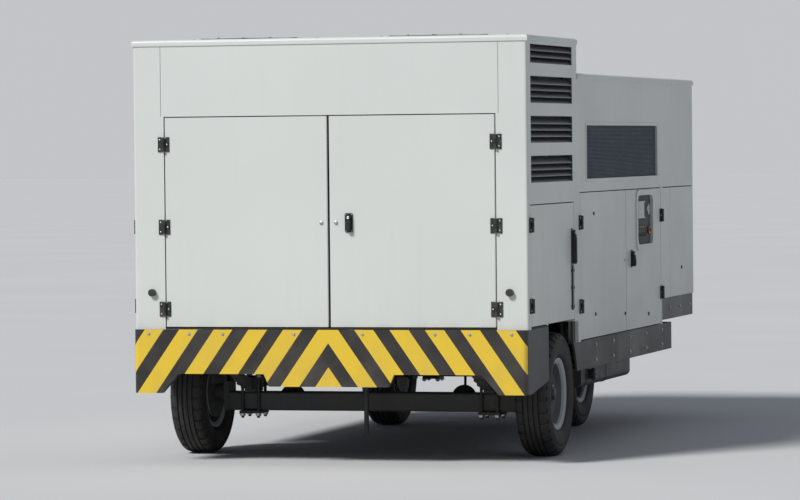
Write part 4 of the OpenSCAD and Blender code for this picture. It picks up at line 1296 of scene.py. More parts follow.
@dataclass
class Doors(Assembly):
    """Door leaves with their seals, linings, screws and latches."""

    seam: float = 0.006
    knuckle: float = 0.010
    seal_reach: float = 0.004
    seal_depths: tuple[float, float] = (0.018, 0.009)
    rim: float = 0.038
    pad: Triple = (0.034, 0.0425, 0.005)
    rod: Triple = (0.013, 0.055, 0.009)
    guide: float = 0.009
    skin: float = 0.005
    lining: float = 0.024
    strap: float = 0.008
    strap_screws: Triple = (0.021, 0.027, 0.005)
    latch_screws: Triple = (0.017, 0.007, 0.0032)
    lock_in: float = 0.037
    latch_radius: float = 0.011
    panel_limit: float = 0.433
    key: Outline = ((0.0, 0.003), (0.0075, 0.003), (0.0085, 0.002), (0.0085, -0.002), (0.0, -0.002))
    cap: Outline = ((0.0, 0.0065), (0.0075, 0.006), (0.0108, 0.0042), (0.0118, 0.0), (0.0, -0.001))
    hinge_ups: dict[str, tuple[float, ...]] = field(default_factory=lambda: {
        "rear": (0.100, 0.565, 1.033), "tall": (0.115, 0.565), "side": (0.195, 0.685)})
    lock_ups: dict[str, float] = field(default_factory=lambda: {
        "rear": 0.585, "tall": 0.420, "side": 0.435})
    handles: dict[str, tuple[float, float]] = field(default_factory=lambda: {
        "door_rear_right": (0.113, 0.108), "door_tall_left": (0.060, 0.210),
        "door_tall_right": (0.060, 0.210), "door_side_left_2": (0.137, 0.108),
        "door_side_right_2": (0.137, 0.108)})
    side_latches: dict[str, Outline] = field(default_factory=lambda: {
        "1": ((0.36, 0.731), (0.39, 0.135), (1.205, 0.105)), "2": ((0.39, 0.075),)})

    def leaf(self, name: str) -> Leaf:
        """Reads a leaf's place from its node's box.

        Args:
            name: The door's node.

        Returns:
            The leaf.
        """
        low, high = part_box(name)
        kind, side = name.split("_")[1:3]
        rear = kind == "rear"
        run = 0 if rear else 1
        hinged_low = side == "left" if rear else not name.endswith("_2")
        along = Vector((0, 0, 0))
        along[run] = 1 if hinged_low else -1
        edge = low[run] + self.knuckle if hinged_low else high[run] - self.knuckle
        sign = 1 if side == "right" else -1
        corner = (edge, self.places.rear, low.z) if rear else (sign * self.places.half, edge, low.z)
        out = (0, -1, 0) if rear else (sign, 0, 0)
        return Leaf(name, Vector(corner), along, Vector(out), high[run] - low[run] - self.knuckle,
                    high.z - low.z)

    def seal(self, leaf: Leaf) -> None:
        """Puts a rubber lip round a leaf, in the gap to its frame.

        Args:
            leaf: The leaf.
        """
        reach, (deep, shallow) = self.seal_reach, self.seal_depths
        lip = ring_block(f"seal_{leaf.name}", leaf.at(self.seam - reach, -reach, -deep),
                         leaf.at(leaf.width + reach, leaf.height + reach, -shallow),
                         reach + 0.0015, 0.0012)
        self.dress(lip, "seal", leaf.name)

    def line(self, leaf: Leaf) -> None:
        """Fills a leaf's two pockets with foam pads.

        Args:
            leaf: The leaf.
        """
        top = self.panel_limit if leaf.name.endswith("_2") else leaf.height
        gap = 0.004
        low, high = self.rim + gap, top - self.rim - gap
        middle = (low + high) / 2
        inner = -leaf.out
        pads = []
        for start, end in ((low, middle - self.rim / 2 - gap), (middle + self.rim / 2 + gap, high)):
            pad = block("pad", leaf.at(self.seam + self.rim + gap, start, -self.skin + 0.0005),
                        leaf.at(leaf.width - self.rim - gap, end, -self.skin - self.lining), 0.006)
            on_faces(pad, lambda face: face.normal.dot(inner) > 0.9, inset(0.022),
                     lambda: bpy.ops.transform.translate(value=inner * 0.004))
            pads.append(pad)
        self.dress(joined(f"lining_{leaf.name}", pads), "foam", leaf.name)

    def pads(self, leaf: Leaf, ups: Sequence[float]) -> None:
        """Puts a black pad under either half of a leaf's hinges.

        Args:
            leaf: The leaf.
            ups: Heights of its hinges over its lower edge.
        """
        reach, half, thick = self.pad
        for sign, word, body in ((1, "leaf", leaf.name), (-1, "post", "body")):
            pads = [block("pad", leaf.at(sign * (self.knuckle + 0.0015), up - half, -0.0004),
                          leaf.at(sign * reach, up + half, thick), 0.0015) for up in ups]
            self.dress(joined(f"hinge_pads_{word}_{leaf.name}", pads), "black", body)

    def latch_rod(self, leaf: Leaf, inwards: float, top: float) -> None:
        """Runs a tall door's latch rod down from its latch, between guides.

        Args:
            leaf: The leaf.
            inwards: How far the rod is from the leaf's free edge.
            top: Where it starts over the leaf's lower edge.
        """
        half, low, out = self.rod
        middle, reach = leaf.width - inwards, self.guide
        parts = [block("rod", leaf.at(middle - half, low, -0.0004), leaf.at(middle + half, top, out),
                       0.003, 3)]
        for up in (low + 0.02, (low + top) / 2, top - 0.03):
            parts.append(block("guide", leaf.at(middle - half - reach, up - reach, -0.0004),
                               leaf.at(middle + half + reach, up + reach, out + 0.003), 0.002))
        self.dress(joined(f"latch_rod_{leaf.name}", parts), "black", leaf.name)

    def screws(self, leaf: Leaf, ups: Sequence[float]) -> list[Vector]:
        """Screws a leaf's hinge straps on.

        Args:
            leaf: The leaf.
            ups: Heights of its hinges over its lower edge.

        Returns:
            Where the straps on the frame want their screws.
        """
        aside, apart, radius = self.strap_screws
        places = [leaf.at(aside, up, self.strap) for up in ups]
        self.dress(rivets(f"hinge_screws_{leaf.name}", places, *leaf.way, radius), "zinc", leaf.name)
        return [leaf.at(-aside, up + step, self.strap) for up in ups for step in (-apart, apart)]

    def handle(self, leaf: Leaf, inwards: float, height: float, up: float) -> None:
        """Adds the screws and the key cylinder of a latch, and a rib along its lever.

        Args:
            leaf: The leaf.
            inwards: How far the latch is from the leaf's free edge.
            height: The latch's height.
            up: Its middle over the leaf's lower edge.
        """
        middle, top = leaf.width - inwards, up + height / 2
        aside, out, radius = self.latch_screws
        corners = [leaf.at(middle + x * aside, up + z * (height / 2 - 0.008), out)
                   for x in (-1, 1) for z in (-1, 1)]
        self.dress(rivets(f"latch_screws_{leaf.name}", corners, *leaf.way, radius), "zinc", leaf.name)
        barrel = turned(f"latch_key_{leaf.name}", self.key, steps=24)
        on_faces(barrel, lambda face: face.normal.z > 0.9 and abs(face.center.x) < 0.004, sink(0.001))
        settle(barrel, aimed(leaf.at(middle, top - 0.024, 0.023), *leaf.way))
        self.dress(barrel, "zinc", leaf.name)
        lever_low = up - 0.014 - (height - 0.04) / 2 + 0.008
        grip = block(f"latch_grip_{leaf.name}", leaf.at(middle - 0.009, lever_low, 0.0285),
                     leaf.at(middle + 0.009, top - 0.052, 0.0325), 0.0018, 3)
        self.dress(grip, "lever", leaf.name)

    def lock(self, leaf: Leaf, up: float) -> None:
        """Caps the small lock near a leaf's free edge.

        Args:
            leaf: The leaf.
            up: The lock's height over the leaf's lower edge.
        """
        cap = turned(f"lock_{leaf.name}", self.cap, steps=24)
        settle(cap, aimed(leaf.at(leaf.width - self.lock_in, up), *leaf.way))
        self.dress(cap, "zinc", leaf.name)

    def dress_leaf(self, name: str) -> list[Vector]:
        """Dresses one leaf.

        Args:
            name: The door's node.

        Returns:
            Where its hinges' straps on the frame want their screws.
        """
        self.coat("door", name)
        leaf = self.leaf(name)
        kind = name.split("_")[1]
        up, ups = self.lock_ups[kind], self.hinge_ups[kind]
        self.seal(leaf)
        self.line(leaf)
        frame_screws = self.screws(leaf, ups)
        self.lock(leaf, up)
        self.pads(leaf, ups)
        if name in self.handles:
            inwards, height = self.handles[name]
            self.handle(leaf, inwards, height, up)
            if kind == "tall":
                self.latch_rod(leaf, inwards, up - height / 2 - 0.002)
        for i, place in enumerate(self.side_latches.get(name[-1], ())):
            latch = quarter_turn(f"latch_{name}_{i}", leaf.at(*place), *leaf.way, self.latch_radius)
            self.dress(latch, "black", name)
        return frame_screws

    def build(self) -> None:
        """Dresses the doors."""
        frame_screws: list[Vector] = []
        for side in Side:
            for name in (f"door_rear_{side.word}", f"door_tall_{side.word}",
                         f"door_side_{side.word}_1", f"door_side_{side.word}_2"):
                frame_screws += self.dress_leaf(name)
        self.coat("black", "door_hinges")
        radius = self.strap_screws[2]
        for axis, sign in ((Axis.Y, -1), (Axis.X, 1), (Axis.X, -1)):
            facing = [p for p in frame_screws
                      if (p.y < self.places.rear if axis is Axis.Y else p.x * sign > self.places.half)]
            self.dress(rivets(f"frame_screws_{axis.name}{sign + 1}", facing, axis, sign, radius), "zinc")


@dataclass
class ControlPanel(Assembly):
    """Lamps, dial, display and stop button on the control panel; places are from its middle."""

    door: str = "door_side_right_2"
    display: tuple[float, float, float, float] = (-0.061, 0.062, 0.218, 0.106)
    display_out: float = 0.010
    switch_from: float = -0.165
    switch_pitch: float = 0.052
    switch_ups: tuple[float, float] = (-0.045, -0.093)
    switch_out: float = 0.011
    dial: tuple[float, float] = (0.150, 0.062)
    dial_out: float = 0.009
    dial_ticks: int = 11
    dial_span: float = 270.0
    dial_reading: float = -50.0
    stop: tuple[float, float] = (0.150, -0.068)
    stop_out: float = 0.016
    lamps: tuple[str, ...] = ("green", "green", "amber", "amber", "red")
    lamp: Outline = ((0.0, 0.0045), (0.005, 0.004), (0.0085, 0.0015), (0.009, -0.0005), (0.0, -0.0005))
    knob: Outline = ((0.0, 0.010), (0.0065, 0.010), (0.0078, 0.0088), (0.0088, 0.001),
                     (0.0098, -0.0005), (0.0, -0.0005))
    bezel: Outline = ((0.029, -0.0005), (0.029, 0.003), (0.031, 0.0045), (0.0335, 0.004),
                      (0.0345, -0.002))
    face: Outline = ((0.0, 0.001), (0.0288, 0.001), (0.0288, -0.0005), (0.0, -0.0005))
    collar: Outline = ((0.0, 0.0015), (0.0215, 0.0015), (0.0225, -0.0005), (0.0, -0.0005))
    button: Outline = ((0.0, 0.016), (0.010, 0.0155), (0.017, 0.0125), (0.018, 0.009),
                       (0.0165, 0.007), (0.009, 0.006), (0.009, 0.0005), (0.0, 0.0005))

    def at(self, along: float, up: float, out: float) -> Vector:
        """Returns the point this far along and up from the panel's middle and off its back."""
        low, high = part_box("control_panel")
        return Vector((low.x + out, (low.y + high.y) / 2 + along, (low.z + high.z) / 2 + up))

    def cap(self, name: str, outline: Outline, place: Vector, finish: str) -> None:
        """Adds a round piece that faces away from the panel."""
        self.dress(turned(name, outline, place, Axis.X, 32), finish, self.door)

    def switches(self) -> None:
        """Adds a row of lamps, and under each a knob with its mark."""
        for i, finish in enumerate(self.lamps):
            along = self.switch_from + i * self.switch_pitch
            self.cap(f"lamp_{i}", self.lamp, self.at(along, self.switch_ups[0], self.switch_out), finish)
            place = self.at(along, self.switch_ups[1], self.switch_out)
            self.cap(f"knob_{i}", self.knob, place, "black")
            mark = block(f"knob_mark_{i}", place + Vector((0.0095, -0.0008, 0.0)),
                         place + Vector((0.0108, 0.0008, 0.0062)), 0.0003)
            self.dress(mark, "dial", self.door)

    def gauge(self) -> None:
        """Adds the dial with its ticks and needle."""
        place = self.at(*self.dial, self.dial_out)
        self.cap("dial_bezel", self.bezel, place, "zinc")
        self.cap("dial_face", self.face, place, "dial")
        centre = Matrix.Translation(place)
        step = self.dial_span / (self.dial_ticks - 1)
        tick = block("tick", (0.0008, -0.0006, 0.021), (0.0016, 0.0006, 0.026))
        ticks = repeated("dial_ticks", tick, [centre @ Matrix.Rotation(
            math.radians(step * i - self.dial_span / 2), 4, "X") for i in range(self.dial_ticks)])
        self.dress(ticks, "black", self.door)
        needle = block("dial_needle", (0.0012, -0.0007, -0.006), (0.002, 0.0007, 0.021), 0.0003)
        settle(needle, centre @ Matrix.Rotation(math.radians(self.dial_reading), 4, "X"))
        self.dress(needle, "red", self.door)

    def build(self) -> None:
        """Dresses the panel."""
        self.coat("screen", "control_panel")
        along, up, width, height = self.display
        pane = block("display", self.at(along - width / 2, up - height / 2, self.display_out - 0.0005),
                     self.at(along + width / 2, up + height / 2, self.display_out + 0.0012), 0.0008)
        on_faces(pane, lambda face: face.normal.x > 0.9, inset(0.008, 0.0006))
        self.dress(pane, "display", self.door)
        self.switches()
        self.gauge()
        place = self.at(*self.stop, self.stop_out)
        self.cap("stop_collar", self.collar, place, "yellow")
        self.cap("stop_button", self.button, place, "red")


@dataclass
class StripedBoard(Assembly):
    """The striped board round the rear end and the front bumper."""

    bolt_z: float = 0.735
    bolt_xs: tuple[float, ...] = (0.20, 0.62, 0.82, 1.06)
    bumper_bolt_z: float = 0.730
    side_shares: Triple = (0.25, 0.55, 0.85)
    front_xs: tuple[float, ...] = (-0.8, -0.4, 0.4, 0.8)

    def build(self) -> None:
        """Dresses the board and the bumper."""
        self.coat("stripes", "rear_board")
        self.coat("slate", "front_bumper")
        z = self.bumper_bolt_z
        self.bolt("board_bolts", [(side.value * x, self.places.board_face, self.bolt_z)
                                  for side in Side for x in self.bolt_xs], Axis.Y, -1, 0.007, 0.005)
        low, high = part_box("front_bumper")
        for side in Side:
            self.bolt(f"bumper_bolts_{side.word}",
                      [(side.value * high.x, low.y + (high.y - low.y) * share, z)
                       for share in self.side_shares], Axis.X, side.value)
        self.bolt("bumper_bolts_front", [(x, high.y, z) for x in self.front_xs], Axis.Y)


@dataclass(frozen=True)
class Opening:
    """A grille's opening, by its corners on the net's plane."""

    name: str
    low: Vector
    high: Vector
    run: int
    face: float

    @property
    def across(self) -> int:
        """Returns the axis that air passes along; the opening's run is the other one of X and Y."""
        return 1 - self.run

    @property
    def sign(self) -> int:
        """Returns 1 where the panel faces along that axis and -1 where it faces against it."""
        return 1 if self.face > 0 else -1


@dataclass
class Cooling(Assembly):
    """Coils, fans, guards, grilles and air outlets."""

    side_opening: tuple[float, float, float, float] = (1.460, 3.460, 1.583, 1.897)
    front_opening: Triple = (0.750, 1.560, 2.060)
    wire: float = 0.0022
    weave: float = 0.7
    net_pitch: float = 0.008
    net_in: float = 0.0125
    trim: float = 0.020
    trim_out: float = 0.004
    guard_bolts: float = 0.4015
    motor_radius: float = 0.062
    coil_depth: float = 0.060
    receiver_x: float = 0.46
    receiver_radius: float = 0.115
    compressor_xs: tuple[float, float] = (-0.62, -0.22)
    base_half: float = 0.13
    base_top: float = 0.036
    flange: float = 0.034
    outlet_wire: tuple[float, float] = (0.0022, 0.0026)
    outlet_in: float = 0.02
    hoop_shares: Triple = (0.25, 0.48, 0.72)
    motor: Outline = ((0.0, 0.006), (0.45, 0.006), (0.6, 0.003), (1.0, 0.002), (1.0, -0.001),
                      (0.0, -0.001))
    tank: Outline = ((0.0, 0.0), (0.55, 0.012), (0.9, 0.045), (1.0, 0.09), (1.0, 0.30), (1.02, 0.302),
                     (1.02, 0.318), (1.0, 0.32), (1.0, 0.52), (0.9, 0.565), (0.55, 0.598), (0.0, 0.61))
    shell: Outline = ((0.0, 0.0), (0.085, 0.0), (0.100, 0.012), (0.108, 0.05), (0.108, 0.22),
                      (0.114, 0.224), (0.114, 0.244), (0.108, 0.248), (0.106, 0.34), (0.090, 0.375),
                      (0.050, 0.392), (0.0, 0.395))

    def net(self, gap: Opening) -> None:
        """Adds a net of crossing wires.

        Args:
            gap: The opening.
        """
        low, high, run, across, sign = gap.low, gap.high, gap.run, gap.across, gap.sign
        end = Vector((low.x, low.y, high.z))
        end[run] += self.wire
        end[across] = low[across] + sign * self.wire
        step = [0.0, 0.0, 0.0]
        step[run] = self.net_pitch
        count = int((high[run] - low[run]) / self.net_pitch)
        uprights = row(block("upright", low, end), count + 1, step)
        start, end = Vector(low), Vector(high)
        end[across] = low[across] + sign * self.wire
        end.z = low.z + self.wire
        start[across] += sign * self.wire * self.weave
        end[across] += sign * self.wire * self.weave
        count = int((high.z - low.z) / self.net_pitch)
        levels = row(block("level", start, end), count + 1, (0.0, 0.0, self.net_pitch))
        self.dress(joined(f"net_{gap.name}", [uprights, levels]), "net", "body", "grille")

    def frame_round(self, gap: Opening) -> None:
        """Adds a slim painted trim round an opening.

        Args:
            gap: The opening.
        """
        start, end, across = Vector(gap.low), Vector(gap.high), gap.across
        start[across], end[across] = gap.face - gap.sign * 0.001, gap.face + gap.sign * self.trim_out
        for axis in (gap.run, 2):
            start[axis] -= self.trim
            end[axis] += self.trim
        trim = ring_block(f"trim_{gap.name}", start, end, self.trim, 0.0014)
        self.dress(trim, "body", "body", "body")

    def openings(self) -> list[Opening]:
        """Finds the openings of the three grilles.

        Returns:
            The openings.
        """
        at = self.places
        start, end, low, high = self.side_opening
        found = []
        for side in Side:
            x = side.value * (at.half - self.net_in)
            found.append(Opening(f"side_{side.word}", Vector((x, at.rear + start, low)),
                                 Vector((x, at.rear + end, high)), 1, side.value * at.half))
        half, low, high = self.front_opening
        y = at.front - self.net_in
        front = Opening("front", Vector((-half, y, low)), Vector((half, y, high)), 0, at.front)
        return [*found, front]

    def guards(self) -> None:
        """Bolts the guards down and caps the motor in the middle of each."""
        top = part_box("fan_guards")[1].z
        for side in Side:
            low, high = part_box(f"fan_{side.word}")
            middle = (low + high) / 2
            turns = [math.radians(22.5 + 45 * i) for i in range(8)]
            self.bolt(f"guard_bolts_{side.word}", [
                (middle.x + self.guard_bolts * math.cos(a), middle.y + self.guard_bolts * math.sin(a),
                 top - 0.003) for a in turns], Axis.Z, 1, 0.007)
            cap = turned(f"fan_cap_{side.word}", scaled(self.motor, self.motor_radius),
                         (middle.x, middle.y, top))
            self.dress(cap, "black")

    def pipes(self) -> None:
        """Runs copper headers down the inner faces of the coils to the receiver."""
        low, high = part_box("condenser_coils")
        deck = self.places.deck
        for side in Side:
            x = side.value * (high.x - self.coil_depth - 0.022)
            for i in range(2):
                y, radius = low.y + 0.16 + 0.08 * i, 0.011 + 0.003 * i
                inner = x - side.value * (0.10 + 0.08 * i)
                header = tube(f"coil_header_{side.word}_{i}", [
                    (x, y, high.z - 0.06), (x, y, low.z + 0.40), (x, y, low.z + 0.02),
                    (inner, y + 0.02, low.z - 0.06), (inner, y + 0.02, low.z - 0.20),
                    (inner, y + 0.02, deck + 0.001)], radius)
                self.dress(header, "copper")

    def receiver(self, y: float) -> None:
        """Stands the liquid receiver on its four feet.

        Args:
            y: Where it stands along.
        """
        deck, x, radius = self.places.deck, self.receiver_x, self.receiver_radius
        tank = turned("receiver", scaled(self.tank, radius), (x, y, deck + 0.05))
        self.dress(tank, "tank")
        feet = [block("foot", (x + a * radius * 0.75 - 0.02, y + b * radius * 0.75 - 0.02,
                               deck + 0.0005),
                      (x + a * radius * 0.75 + 0.02, y + b * radius * 0.75 + 0.02, deck + 0.13), 0.003)
                for a in (-1, 1) for b in (-1, 1)]
        self.dress(joined("receiver_feet", feet), "frame")

    def compressor(self, i: int, x: float, y: float) -> None:
        """Bolts a compressor down and pipes it to the receiver.

        Args:
            i: Its number.
            x: Where it stands across.
            y: Where it stands along.
        """
        deck, half, end = self.places.deck, self.base_half, self.receiver_x
        self.dress(turned(f"compressor_{i}", self.shell, (x, y, deck + 0.035)), "black")
        base = block(f"compressor_base_{i}", (x - half, y - half, deck + 0.0005),
                     (x + half, y + half, deck + self.base_top), 0.008, 3)
        on_faces(base, lambda face: face.normal.z > 0.9, inset(0.02, 0.004))
        self.dress(base, "frame")
        self.bolt(f"compressor_bolts_{i}", [(x + a, y + b, deck + self.base_top)
                                            for a in (-0.115, 0.115) for b in (-0.115, 0.115)],
                  Axis.Z, 1, 0.010, 0.009)
        self.dress(tube(f"discharge_{i}", [
            (x, y, deck + 0.42), (x, y, deck + 0.50), (x + 0.02, y - 0.06, deck + 0.62),
            (x + 0.20, y - 0.10, deck + 0.70), (0.40, y - 0.06, deck + 0.74), (end, y, deck + 0.72),
            (end, y, deck + 0.655)], 0.010 + 0.002 * i), "copper")

    def outlets(self) -> None:
        """Adds a protective wire grid and the flange's bolts to either air outlet."""
        low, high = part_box("air_outlets")
        radius = (high.z - low.z) / 2 - self.flange
        z = (low.z + high.z) / 2
        face, grid = self.places.front + 0.008, self.places.front - self.outlet_in
        hoop, spoke = self.outlet_wire
        ring = radius + 0.018
        for side in Side:
            x = side.value * (high.x - radius - self.flange)
            self.bolt(f"outlet_bolts_{side.word}", [
                (x + ring * math.cos(a), face, z + ring * math.sin(a))
                for a in (math.radians(45 * i) for i in range(8))], Axis.Y, 1, 0.006)
            wires = [turned(f"hoop_{i}", [
                (share * radius + hoop, -hoop), (share * radius + hoop, hoop),
                (share * radius - hoop, hoop), (share * radius - hoop, -hoop)],
                (x, grid, z), Axis.Y, 40) for i, share in enumerate(self.hoop_shares)]
            for i, turn in enumerate((0.0, math.pi / 3, 2 * math.pi / 3)):
                across, up = radius * math.cos(turn), radius * math.sin(turn)
                wires.append(rod(f"spoke_{i}", (x - across, grid, z - up), (x + across, grid, z + up),
                                 spoke, 10))
            self.dress(joined(f"outlet_guard_{side.word}", wires), "zinc")

    def build(self) -> None:
        """Dresses what the air passes."""
        self.coat("coil", "condenser_coils")
        self.coat("black", "fan_guards")
        self.coat("fan", "fan_left", "fan_right")
        self.coat("grille", "intake_grilles")
        self.coat("collar", "air_outlets")
        for gap in self.openings():
            self.net(gap)
            self.frame_round(gap)
        self.guards()
        self.pipes()
        y = (self.places.rear + self.places.split) / 2 + 0.16
        self.receiver(y)
        for i, x in enumerate(self.compressor_xs):
            self.compressor(i, x, y)
        self.outlets()


@dataclass
class Chassis(Assembly):
    """Rails, sills, axles, springs and boxes under the floor."""

    saddle_bolts: tuple[float, float] = (0.048, 0.068)
    saddle_zs: tuple[float, float] = (0.234, 0.448)
    rail_x: float = 0.720
    chamber_radius: float = 0.072
    chamber_x: float = 0.520
    axle_z: float = 0.305
    crossmember_z: float = 0.801
    sill_start: float = 0.30
    sill_shares: tuple[float, ...] = (0.12, 0.31, 0.50, 0.69, 0.88)
    sill_zs: tuple[float, float] = (0.505, 0.595)
    cap_place: tuple[float, float] = (0.21, 0.073)
    chamber: Outline = ((0.0, 0.0), (0.72, 0.0), (0.92, 0.012), (0.94, 0.040), (1.0, 0.042),
                        (1.0, 0.058), (0.94, 0.060), (0.90, 0.088), (0.6, 0.105), (0.0, 0.108))
    filler: Outline = ((0.0, 0.006), (0.026, 0.006), (0.031, 0.001), (0.031, -0.002), (0.0, -0.002))

    def rear_axle(self) -> None:
        """Adds the nuts at the rear saddles, the brake chambers and their hoses."""
        low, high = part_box("tyre_rear_left")
        axle_y, z = (low.y + high.y) / 2, self.axle_z
        self.nuts("saddle_nuts", (self.rail_x, axle_y), self.saddle_bolts, self.saddle_zs,
                  0.017, (0.015, 0.011), "body")
        for side in Side:
            x = side.value * self.chamber_x
            can = turned(f"brake_chamber_{side.word}", scaled(self.chamber, self.chamber_radius),
                         (x, axle_y + 0.075, z + 0.02), Axis.Y, 40)
            self.dress(can, "spring")
            bracket = block(f"brake_bracket_{side.word}", (x - 0.03, axle_y + 0.05, z - 0.03),
                            (x + 0.03, axle_y + 0.08, z + 0.06), 0.004)
            self.dress(bracket, "frame")
            bend, end = x - side.value * 0.06, x - side.value * 0.02
            hose = tube(f"brake_hose_{side.word}", [
                (x, axle_y + 0.15, z + 0.08), (x, axle_y + 0.17, z + 0.22),
                (bend, axle_y + 0.26, z + 0.34), (end, axle_y + 0.38, z + 0.45),
                (end, axle_y + 0.38, self.crossmember_z)], 0.008)
            self.dress(hose, "seal")

    def sills(self) -> None:
        """Bolts the sills to their hangers."""
        low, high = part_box("side_sills")
        start = low.y + self.sill_start
        run = high.y - low.y - self.sill_start
        for side in Side:
            self.bolt(f"sill_bolts_{side.word}", [(side.value * high.x, start + run * share, z)
                                                  for share in self.sill_shares for z in self.sill_zs],
                      Axis.X, side.value, 0.009)

    def boxes(self) -> None:
        """Adds the tank cap's grip and the battery box's vents."""
        low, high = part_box("fuel_tank")
        x, y, z = high.x, low.y + self.cap_place[0], low.z + self.cap_place[1]
        cap = turned("tank_cap", self.filler, (x, y, z), Axis.X, 36)
        bar = block("cap_bar", (x + 0.004, y - 0.026, z - 0.005),
                    (x + 0.014, y + 0.026, z + 0.005), 0.003)
        self.dress(joined("tank_cap", [cap, bar]), "black")
        low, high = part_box("battery_box")
        slot = block("battery_vents", (low.x + 0.003, low.y + 0.14, low.z + 0.035),
                     (low.x + 0.009, high.y - 0.14, low.z + 0.045), 0.002)
        self.dress(row(slot, 4, (0.0, 0.0, 0.022)), "black")

    def build(self) -> None:
        """Dresses the chassis."""
        self.coat("frame", "chassis_rails", "side_sills", "rear_axle", "turntable_ring")
        self.coat("spring", "rear_springs")
        self.coat("black", "drain_pipe")
        self.coat("tank", "fuel_tank", "battery_box")
        self.rear_axle()
        self.sills()
        self.boxes()


@dataclass
class Steering(Assembly):
    """Turntable carrier, front axle and tow bar."""

    pin_ahead: float = 1.100
    pin_z: float = 0.360
    drop: float = 12.122
    bar_length: float = 1.400
    ear_out: float = 0.244
    grip_x: float = 0.110
    grip_end: float = 0.300
    clamp_bolts: tuple[float, float] = (0.044, 0.054)
    clamp_x: float = 0.300
    clamp_zs: tuple[float, float] = (0.296, 0.480)
    grip: Outline = ((0.0112, 0.0), (0.0155, 0.002), (0.0165, 0.010), (0.0150, 0.020), (0.0165, 0.032),
                     (0.0150, 0.044), (0.0165, 0.056), (0.0150, 0.068), (0.0165, 0.080), (0.0150, 0.092),
                     (0.0165, 0.104), (0.0155, 0.113), (0.0112, 0.115))
    pin_cap: Outline = ((0.0, 0.010), (0.018, 0.010), (0.027, 0.006), (0.027, -0.001), (0.0, -0.001))

    def axle_y(self) -> float:
        """Returns where the front axle is along Y."""
        low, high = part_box("tyre_front_left")
        return (low.y + high.y) / 2

    def on_bar(self, piece: Piece, finish: str) -> None:
        """Moves a piece onto the lowered tow bar.

        Args:
            piece: The piece, modelled along Y from the pin.
            finish: A finish's key in the store.
        """
        pin = Matrix.Translation((0, self.axle_y() + self.pin_ahead, self.pin_z))
        settle(piece, pin @ Matrix.Rotation(math.radians(-self.drop), 4, "X"))
        self.dress(piece, finish, "tow_bar")

    def tow_bar(self) -> None:
        """Adds grips, the pin's caps, the eye's bolts and a clamp to the tow bar."""
        reach = self.bar_length
        for side in Side:
            place = (side.value * self.grip_x, reach - self.grip_end, 0)
            self.on_bar(turned(f"bar_grip_{side.word}", self.grip, place, Axis.Y, 28), "seal")
            cap = turned(f"pin_cap_{side.word}", self.pin_cap, steps=32)
            settle(cap, aimed((side.value * (self.ear_out + 0.008), 0, 0), Axis.X, side.value))
            self.on_bar(cap, "zinc")
        places = [(x, reach - 0.165 + y, 0.036) for x in (-0.02, 0.02) for y in (0.0, 0.05)]
        self.on_bar(bolts("eye_bolts", places, Axis.Z, 1, 0.009, 0.008), "zinc")
        clamp = ring_block("bar_clamp", (-0.046, reach - 0.52, -0.046), (0.046, reach - 0.49, 0.046),
                           0.010, 0.003)
        self.on_bar(clamp, "black")

    def build(self) -> None:
        """Dresses the steering and the tow bar."""
        self.coat("frame", "steer_frame", "front_axle")
        self.coat("black", "tow_bar")
        self.nuts("clamp_nuts", (self.clamp_x, self.axle_y()), self.clamp_bolts, self.clamp_zs,
                  0.014, (0.012, 0.008), "steering")
        self.tow_bar()


